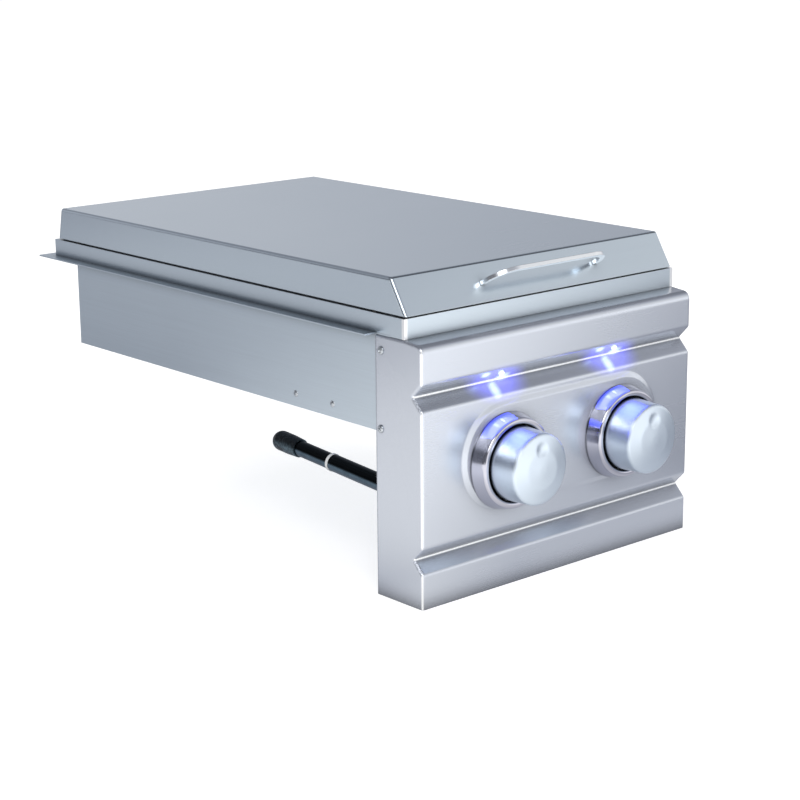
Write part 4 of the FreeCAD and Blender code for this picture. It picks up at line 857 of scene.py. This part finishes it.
@dataclass(frozen=True)
class BlindRivet:
    """A domed rivet head with its broken mandrel in the middle."""

    radius: float = 0.0031
    height: float = 0.0013
    dome_angles: tuple[float, ...] = (72, 60, 45, 30, 15, 0)
    mandrel: float = 0.0008
    mandrel_profile: tuple[Pair, ...] = ((0.8, 0.0002), (1.0, 0.0005), (1.2, 0.0001))
    break_hole: float = 0.0001
    segments: int = 28

    def form(self) -> Form:
        """Builds the head with its foot on the origin.

        Returns:
            The form.
        """
        form = bmesh.new()
        dome = [(self.radius * math.cos(angle), self.height * math.sin(angle))
                for angle in map(math.radians, self.dome_angles)]
        top = dome[0][1]
        middle = [(self.mandrel * share, top - drop) for share, drop in self.mandrel_profile]
        rings = lathe(form, [(self.break_hole, middle[0][1])] + middle + dome, self.segments)
        form.faces.new(rings[0])
        return form


@dataclass(frozen=True)
class HexNut:
    """A chamfered compression nut round a tube."""

    flats: float = 0.0065
    length: float = 0.009
    bore: float = 0.0041
    chamfer_share: float = 0.12
    chamfer_rise: float = 0.6
    segments: int = 24

    def form(self) -> Form:
        """Builds the nut from its foot along Z.

        Returns:
            The form.
        """
        form = bmesh.new()
        half_flat = math.pi / 6
        corner = self.flats / math.cos(half_flat)
        chamfer = corner * self.chamfer_share
        rise = chamfer * self.chamfer_rise
        rings = []
        top = self.length
        for height, shrink, bored in ((0.0, 0.0, True), (0.0, chamfer, False), (rise, 0.0, False),
                                      (top - rise, 0.0, False), (top, chamfer, False), (top, 0.0, True)):
            ring = []
            for step in range(self.segments):
                angle = step * math.tau / self.segments
                fold = (angle + half_flat) % (2 * half_flat) - half_flat
                reach = self.bore if bored else min(self.flats / math.cos(fold), corner - shrink)
                ring.append(form.verts.new((reach * math.cos(angle), reach * math.sin(angle), height)))
            rings.append(ring)
        join_rings(form, rings)
        return form

    def fitted(self, name: str, place: Point) -> str:
        """Fits the nut so that it points to the rear.

        Args:
            name: The piece's name.
            place: Where its foot is.

        Returns:
            The name.
        """
        form = self.form()
        form.transform(towards(Vector(place), REARWARD))
        return new_piece(name, form, "burner_unit", PLAIN_BRASS).name


@dataclass(frozen=True)
class Softbox:
    """A large soft lamp."""

    name: str
    place: Point
    size: float
    power: float
    colour: Colour = WHITE
    aim: Point = (0.0, -0.28, -0.05)
    mirrored: bool = True
    seen: bool = True

    def build(self) -> str:
        """Hangs the lamp.

        Returns:
            Its name.
        """
        light = bpy.data.lights.new(self.name, "AREA")
        light.energy, light.color, light.size = self.power, self.colour, self.size
        lamp = bpy.data.objects.new(self.name, light)
        lamp.location = self.place
        lamp.rotation_euler = (Vector(self.aim) - Vector(self.place)).to_track_quat("-Z", "Y").to_euler()
        lamp.visible_glossy = self.mirrored
        lamp.visible_camera = self.seen
        bpy.context.scene.collection.objects.link(lamp)
        return self.name


@dataclass
class ControlPanel:
    """The folded front with its bezels and its groove lamps, which are placed from each knob's axis."""

    lamp_place: Point = (-0.0100, -0.5480, -0.0620)
    lamp_aim: Point = (-0.0050, -0.5620, -0.0850)
    lamp_power: float = 0.0450
    lamp_colour: Colour = (0.06, 0.09, 1.0)
    lamp_size: float = 0.056

    def build(self) -> list[str]:
        """Dresses the panel and lets its lamps shine down on the knobs.

        Returns:
            The pieces' names.
        """
        for side in Side:
            axis = Vector((KNOB_HALF_SPAN * side.value, 0.0, 0.0))
            place, aim = (tuple(axis + Vector(point)) for point in (self.lamp_place, self.lamp_aim))
            Softbox(f"groove lamp {side.word}", place, self.lamp_size, self.lamp_power, self.lamp_colour, aim,
                    seen=False).build()
        return (dressed(PANEL_STEEL, "control_panel") + dressed(POLISHED_RING, *both("bezel"))
                + dressed(LENS, *both("lamp_lens")) + dressed(MOULDED_BLACK, *both("lamp_holder"))
                + dressed(LEAD_BLACK, "lamp_wiring"))


@dataclass
class Controls:
    """The knobs, stems, valves and the rail that feeds them."""

    nut: HexNut = HexNut()
    nut_start: Point = (KNOB_HALF_SPAN, -0.4850, KNOB_HEIGHT)

    def build(self) -> list[str]:
        """Dresses the controls and adds the valves' outlet nuts.

        Returns:
            The pieces' names.
        """
        names = dressed(SATIN_KNOB, *both("knob"))
        names += dressed(PLAIN_BRASS, *both("valve"), *both("valve_plug"))
        names += dressed(PLATED, *both("valve_stem"), *both("valve_bonnet"))
        names += dressed(PLATED, "gas_rail", "rail_plug", "rail_brackets", "inlet_elbow")
        x, y, z = self.nut_start
        return names + [self.nut.fitted(f"outlet_nut_{side.word}", (x * side.value, y, z)) for side in Side]


@dataclass
class GasInlet:
    """The black supply pipe with its seal, nipple and cap."""

    def build(self) -> list[str]:
        """Dresses the inlet.

        Returns:
            The pieces' names.
        """
        return (dressed(PIPE_BLACK, "supply_pipe", "inlet_nipple") + dressed(SEAL_WHITE, "sealing_washer")
                + dressed(CAP_BLACK, "inlet_cap"))


@dataclass
class BurnerBox:
    """The hanging box with its supports, rivets and screws."""

    screw: CrossScrew = CrossScrew()
    screw_places: tuple[Pair, ...] = ((-0.4875, -0.0129), (-0.4865, -0.0802))
    rivet: BlindRivet = BlindRivet()
    rivet_places: tuple[Pair, ...] = ((-0.42165, -0.0714), (-0.37135, -0.0714))
    turn_step: float = 0.5

    def heads(self, stem: str, node: str, places: tuple[Pair, ...],
              fastener: CrossScrew | BlindRivet) -> list[str]:
        """Puts a fastener's head where each of a node's solids stands.

        Args:
            stem: The start of the pieces' names.
            node: The node that the heads stand for.
            places: Where the heads are along Y and Z.
            fastener: The fastener.

        Returns:
            The node's name and the pieces' names.
        """
        low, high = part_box(node)
        names = [node]
        for side in Side:
            face = (low.x if side is Side.LEFT else high.x) - side.value * fastener.height
            for number, (y, z) in enumerate(places, 1):
                form = fastener.form()
                form.transform(towards(Vector((face, y, z)), Vector((side.value, 0, 0)),
                                       self.turn_step * number))
                piece = new_piece(f"{stem}_{side.word}_{number}", form, "burner_unit", PLATED)
                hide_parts(node)
                names.append(piece.name)
        return names

    def build(self) -> list[str]:
        """Dresses the box and adds its fasteners' heads.

        Returns:
            The pieces' names.
        """
        return (dressed(SHEET_ALONG, "burner_box")
                + dressed(PLATED, "burner_support_front", "burner_support_rear")
                + self.heads("housing_screw", "housing_screws", self.screw_places, self.screw)
                + self.heads("box_rivet", "box_rivets", self.rivet_places, self.rivet))


@dataclass
class Cooktop:
    """The top frame, the pan, and the two burners with their grates."""

    nut: HexNut = HexNut(flats=0.006, length=0.007)
    jet_starts: Pair = (-0.4585, -0.2205)
    jet_height: float = -0.060

    def build(self) -> list[str]:
        """Dresses the top and adds the nuts behind the jets.

        Returns:
            The pieces' names.
        """
        names = (dressed(SHEET_ACROSS, "top_frame") + dressed(PAN_STEEL, "burner_pan")
                 + dressed(RUBBER, "lid_bumpers") + dressed(LEAD_BLACK, "igniter_leads"))
        for row, start in zip(Row, self.jet_starts):
            for stem, finish in BURNER_FINISHES.items():
                names += dressed(finish, f"{stem}_{row.word}")
            names.append(self.nut.fitted(f"jet_nut_{row.word}", (0.0, start, self.jet_height)))
        return names


@dataclass
class Lid:
    """The sloped lid with its grip and hinges."""

    screw: CrossScrew = CrossScrew(
        radius=0.0026, height=0.0013, recess=0.0014, recess_depth=0.0008, slot_half=0.00035)
    screw_reach: float = 0.013
    screw_sink: float = 0.0001
    turn_step: float = 0.7
    turn_by_height: float = 50.0
    hinge_middle: float = 0.115
    leaf_heights: Pair = (0.0345, 0.0085)
    search_from: float = 0.1

    def build(self) -> list[str]:
        """Dresses the lid and adds the hinges' screws.

        Returns:
            The pieces' names.
        """
        names = dressed(LID_STEEL, "lid") + dressed(PLATED, "hinge_pins") + dressed(
            BRIGHT_STEEL, "lid_grip", *both("hinge_fixed_leaf"), *both("hinge_moving_leaf"))
        for side in Side:
            for leaf, height in zip(Leaf, self.leaf_heights):
                for number, reach in enumerate((-self.screw_reach, self.screw_reach), 1):
                    start = (self.hinge_middle * side.value + reach, self.search_from, height)
                    place, normal = surface_at(f"hinge_{leaf.word}_leaf_{side.word}", start, FORWARD)
                    form = self.screw.form()
                    form.transform(towards(place - normal * self.screw_sink, normal,
                                           self.turn_step * number + self.turn_by_height * height))
                    names.append(new_piece(f"{leaf.word}_leaf_screw_{side.word}_{number}", form, leaf.value,
                                           PLATED).name)
        return names


@dataclass(frozen=True)
class Pool:
    """A pool of light that metal sees on the floor: its place, its reach and its brightness."""

    centre: Pair
    inner: float
    outer: float
    level: float


@dataclass
class Studio:
    """A pale floor, a white backdrop and soft lamps.

    Metal sees more: on the floor an apron of light before a slanting line, and pools of light, and in
    the sky a bright horizon, a darker rear and a dark card at the left.
    """

    floor_half: float = 14.0
    floor_cells: int = 8
    floor_height: float = -0.2275
    floor_grey: Colour = (0.82, 0.82, 0.82)
    floor_level: float = 0.42
    speckle_scale: float = 60.0
    speckle_spread: float = 0.02
    shadow_lift: float = 0.62
    shade_tint: Colour = (0.94, 0.970, 1.07)
    apron_offset: float = -0.72
    apron_slope: float = -0.75
    apron_rise: Pair = (-0.25, 0.20)
    apron_level: float = 1.50
    apron_fading: Ramp = Ramp(1.2, 2.8, 1.0, 0.60)
    pools: tuple[Pool, ...] = (Pool((-0.74, -0.38), 0.42, 0.68, 1.02), Pool((-1.05, 0.80), 0.30, 0.58, 0.80),
                               Pool((0.12, -0.52), 0.12, 0.28, 0.70))
    ambient: float = 0.50
    sky_front: Ramp = Ramp(0.45, 0.80, 0.89, 0.23)
    sky_horizon: Ramp = Ramp(0.34, 0.20, 0.0, 0.40)
    sky_back: Ramp = Ramp(0.28, 0.58, 0.70, 0.30)
    sky_right: Ramp = Ramp(0.50, 0.90, 1.0, 0.62)
    sky_turn: Ramp = Ramp(-0.45, 0.45)
    sky_tinting: Ramp = Ramp(0.95, 0.45)
    card_side: Ramp = Ramp(-0.46, -0.66)
    card_top: Ramp = Ramp(0.60, 0.35)
    card_dark: float = 0.8
    lamps: tuple[Softbox, ...] = (
        Softbox("key", (-1.7, -2.1, 1.7), 1.4, 22.0),
        Softbox("fill", (2.3, -1.4, 1.1), 1.4, 8.0, mirrored=False),
        Softbox("top", (0.2, 0.9, 2.4), 1.8, 14.0, mirrored=False))

    def mirrored_floor(self, graph: Graph) -> Socket:
        """Works out how bright metal sees the floor.

        Args:
            graph: The floor material's nodes.

        Returns:
            The brightness.
        """
        place = graph.node("NewGeometry").outputs["Position"]
        x, y, _ = graph.node("SeparateXYZ", {0: place}).outputs
        line = graph.maths("MULTIPLY_ADD", x, self.apron_slope, self.apron_offset)
        ahead = graph.maths("DIVIDE", graph.maths("SUBTRACT", line, y), math.hypot(1.0, self.apron_slope))
        apron = graph.fade(ahead, Ramp(*self.apron_rise, self.floor_level, self.apron_level))
        level = graph.product(apron, graph.fade(ahead, self.apron_fading))
        for pool in self.pools:
            away = graph.node("VectorMath", {0: place, 1: (*pool.centre, self.floor_height)},
                              operation="DISTANCE").outputs["Value"]
            light = graph.fade(away, Ramp(pool.inner, pool.outer, pool.level, self.floor_level))
            level = graph.maths("MAXIMUM", level, light)
        return level

    def floor_material(self) -> bpy.types.Material:
        """Makes the floor's material, white with a shadow to the eye and lit to metal.

        Returns:
            The material.
        """
        material = bpy.data.materials.new("studio floor")
        material.use_nodes = True
        graph = Graph(material.node_tree)
        material.node_tree.nodes.remove(material.node_tree.nodes["Principled BSDF"])
        rays = graph.node("LightPath").outputs
        speckle = graph.wander(1.0, (graph.noise((self.speckle_scale,) * 3), self.speckle_spread))
        matt = graph.node("BsdfDiffuse", {"Color": graph.shaded(self.floor_grey, speckle)})
        lift = graph.node("Emission", {"Strength": graph.product(rays["Is Camera Ray"], self.shadow_lift)})
        seen = graph.node("AddShader", {0: matt.outputs[0], 1: lift.outputs[0]})
        level = self.mirrored_floor(graph)
        tint = graph.mixed(graph.fade(level, Ramp(1.0, self.floor_level)), WHITE, self.shade_tint)
        glow = graph.node("Emission", {"Color": tint, "Strength": level})
        mirrored = graph.maths("MAXIMUM", rays["Is Glossy Ray"], rays["Is Transmission Ray"])
        both_ways = graph.node("MixShader", {0: mirrored, 1: seen.outputs[0], 2: glow.outputs[0]})
        graph.link(both_ways.outputs[0], material.node_tree.nodes["Material Output"].inputs["Surface"])
        return material

    def floor(self) -> str:
        """Lays the floor.

        Returns:
            Its name.
        """
        form = bmesh.new()
        bmesh.ops.create_grid(form, x_segments=self.floor_cells, y_segments=self.floor_cells,
                              size=self.floor_half)
        form.transform(Matrix.Translation((0.0, 0.0, self.floor_height)))
        mesh = bpy.data.meshes.new("studio_floor")
        form.to_mesh(mesh)
        form.free()
        mesh.materials.append(self.floor_material())
        floor = bpy.data.objects.new("studio_floor", mesh)
        bpy.context.scene.collection.objects.link(floor)
        return floor.name

    def mirrored_sky(self, graph: Graph) -> Socket:
        """Works out how bright metal sees the sky.

        Args:
            graph: The world's nodes.

        Returns:
            The brightness.
        """
        across, along, up = graph.axes("Generated")
        front = graph.maths("ADD", graph.fade(up, self.sky_front), graph.fade(up, self.sky_horizon))
        back = graph.product(graph.fade(up, self.sky_back), graph.fade(across, self.sky_right))
        rear = graph.fade(along, self.sky_turn)
        sky = graph.maths("MULTIPLY_ADD", rear, graph.maths("SUBTRACT", back, front), front)
        card = graph.product(graph.fade(across, self.card_side), graph.fade(up, self.card_top))
        return graph.product(sky, graph.maths("MULTIPLY_ADD", card, -self.card_dark, 1.0))

    def backdrop(self) -> str:
        """Gives the world a white backdrop, a studio for metal to mirror, and an even fill.

        Returns:
            Its name.
        """
        world = bpy.data.worlds.new("studio backdrop")
        bpy.context.scene.world = world
        world.use_nodes = True
        graph = Graph(world.node_tree)
        sky = self.mirrored_sky(graph)
        rays = graph.node("LightPath").outputs
        mirrored = graph.product(rays["Is Glossy Ray"], graph.maths("SUBTRACT", sky, self.ambient))
        clear = graph.maths("MAXIMUM", rays["Is Camera Ray"], rays["Is Transmission Ray"])
        strength = graph.maths("MAXIMUM", graph.maths("ADD", self.ambient, mirrored), clear)
        share = graph.product(rays["Is Glossy Ray"], graph.fade(sky, self.sky_tinting))
        background = world.node_tree.nodes["Background"]
        graph.link(graph.mixed(share, WHITE, self.shade_tint), background.inputs["Color"])
        graph.link(strength, background.inputs["Strength"])
        return world.name

    def build(self) -> list[str]:
        """Sets up the floor, the backdrop and the lamps.

        Returns:
            Their names.
        """
        return [self.floor(), self.backdrop()] + [lamp.build() for lamp in self.lamps]


@dataclass(frozen=True)
class Viewpoint:
    """Where the camera stands and how it is turned, in metres and degrees."""

    place: Point = (-1.21113, -1.70336, 0.35827)
    yaw: float = 41.26
    pitch: float = -14.46
    roll: float = -0.46
    lens: float = 89.749
    sensor: float = 36.0
    nearest: float = 0.05
    farthest: float = 60.0

    def build(self) -> list[str]:
        """Sets up the camera.

        Returns:
            Its name, in a list.
        """
        yaw, pitch, roll = (math.radians(angle) for angle in (self.yaw, self.pitch, self.roll))
        ahead = Vector((math.sin(yaw) * math.cos(pitch), math.cos(yaw) * math.cos(pitch), math.sin(pitch)))
        level = Vector((math.cos(yaw), -math.sin(yaw), 0.0))
        upright = level.cross(ahead)
        right = level * math.cos(roll) + upright * math.sin(roll)
        above = upright * math.cos(roll) - level * math.sin(roll)
        data = bpy.data.cameras.new("photo camera")
        data.lens, data.sensor_width = self.lens, self.sensor
        data.clip_start, data.clip_end = self.nearest, self.farthest
        camera = bpy.data.objects.new("photo camera", data)
        turned = Matrix((right, above, -ahead)).transposed().to_4x4()
        camera.matrix_world = Matrix.Translation(self.place) @ turned
        bpy.context.scene.collection.objects.link(camera)
        bpy.context.scene.camera = camera
        return [camera.name]


def main() -> None:
    """Builds and dresses the sub-assemblies, then the studio and the camera, and reports each."""
    logging.basicConfig(level=logging.INFO, format="%(message)s")
    bpy.context.scene.view_settings.view_transform = "Standard"
    named = set()
    for part in (ControlPanel, Controls, GasInlet, BurnerBox, Cooktop, Lid, Studio, Viewpoint):
        pieces = part().build()
        named.update(pieces)
        log.info("%s: %s", part.__name__, ", ".join(pieces))
    log.info("nodes left bare: %s", sorted(set(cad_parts) - named) or "none")


if __name__ == "__main__":
    main()
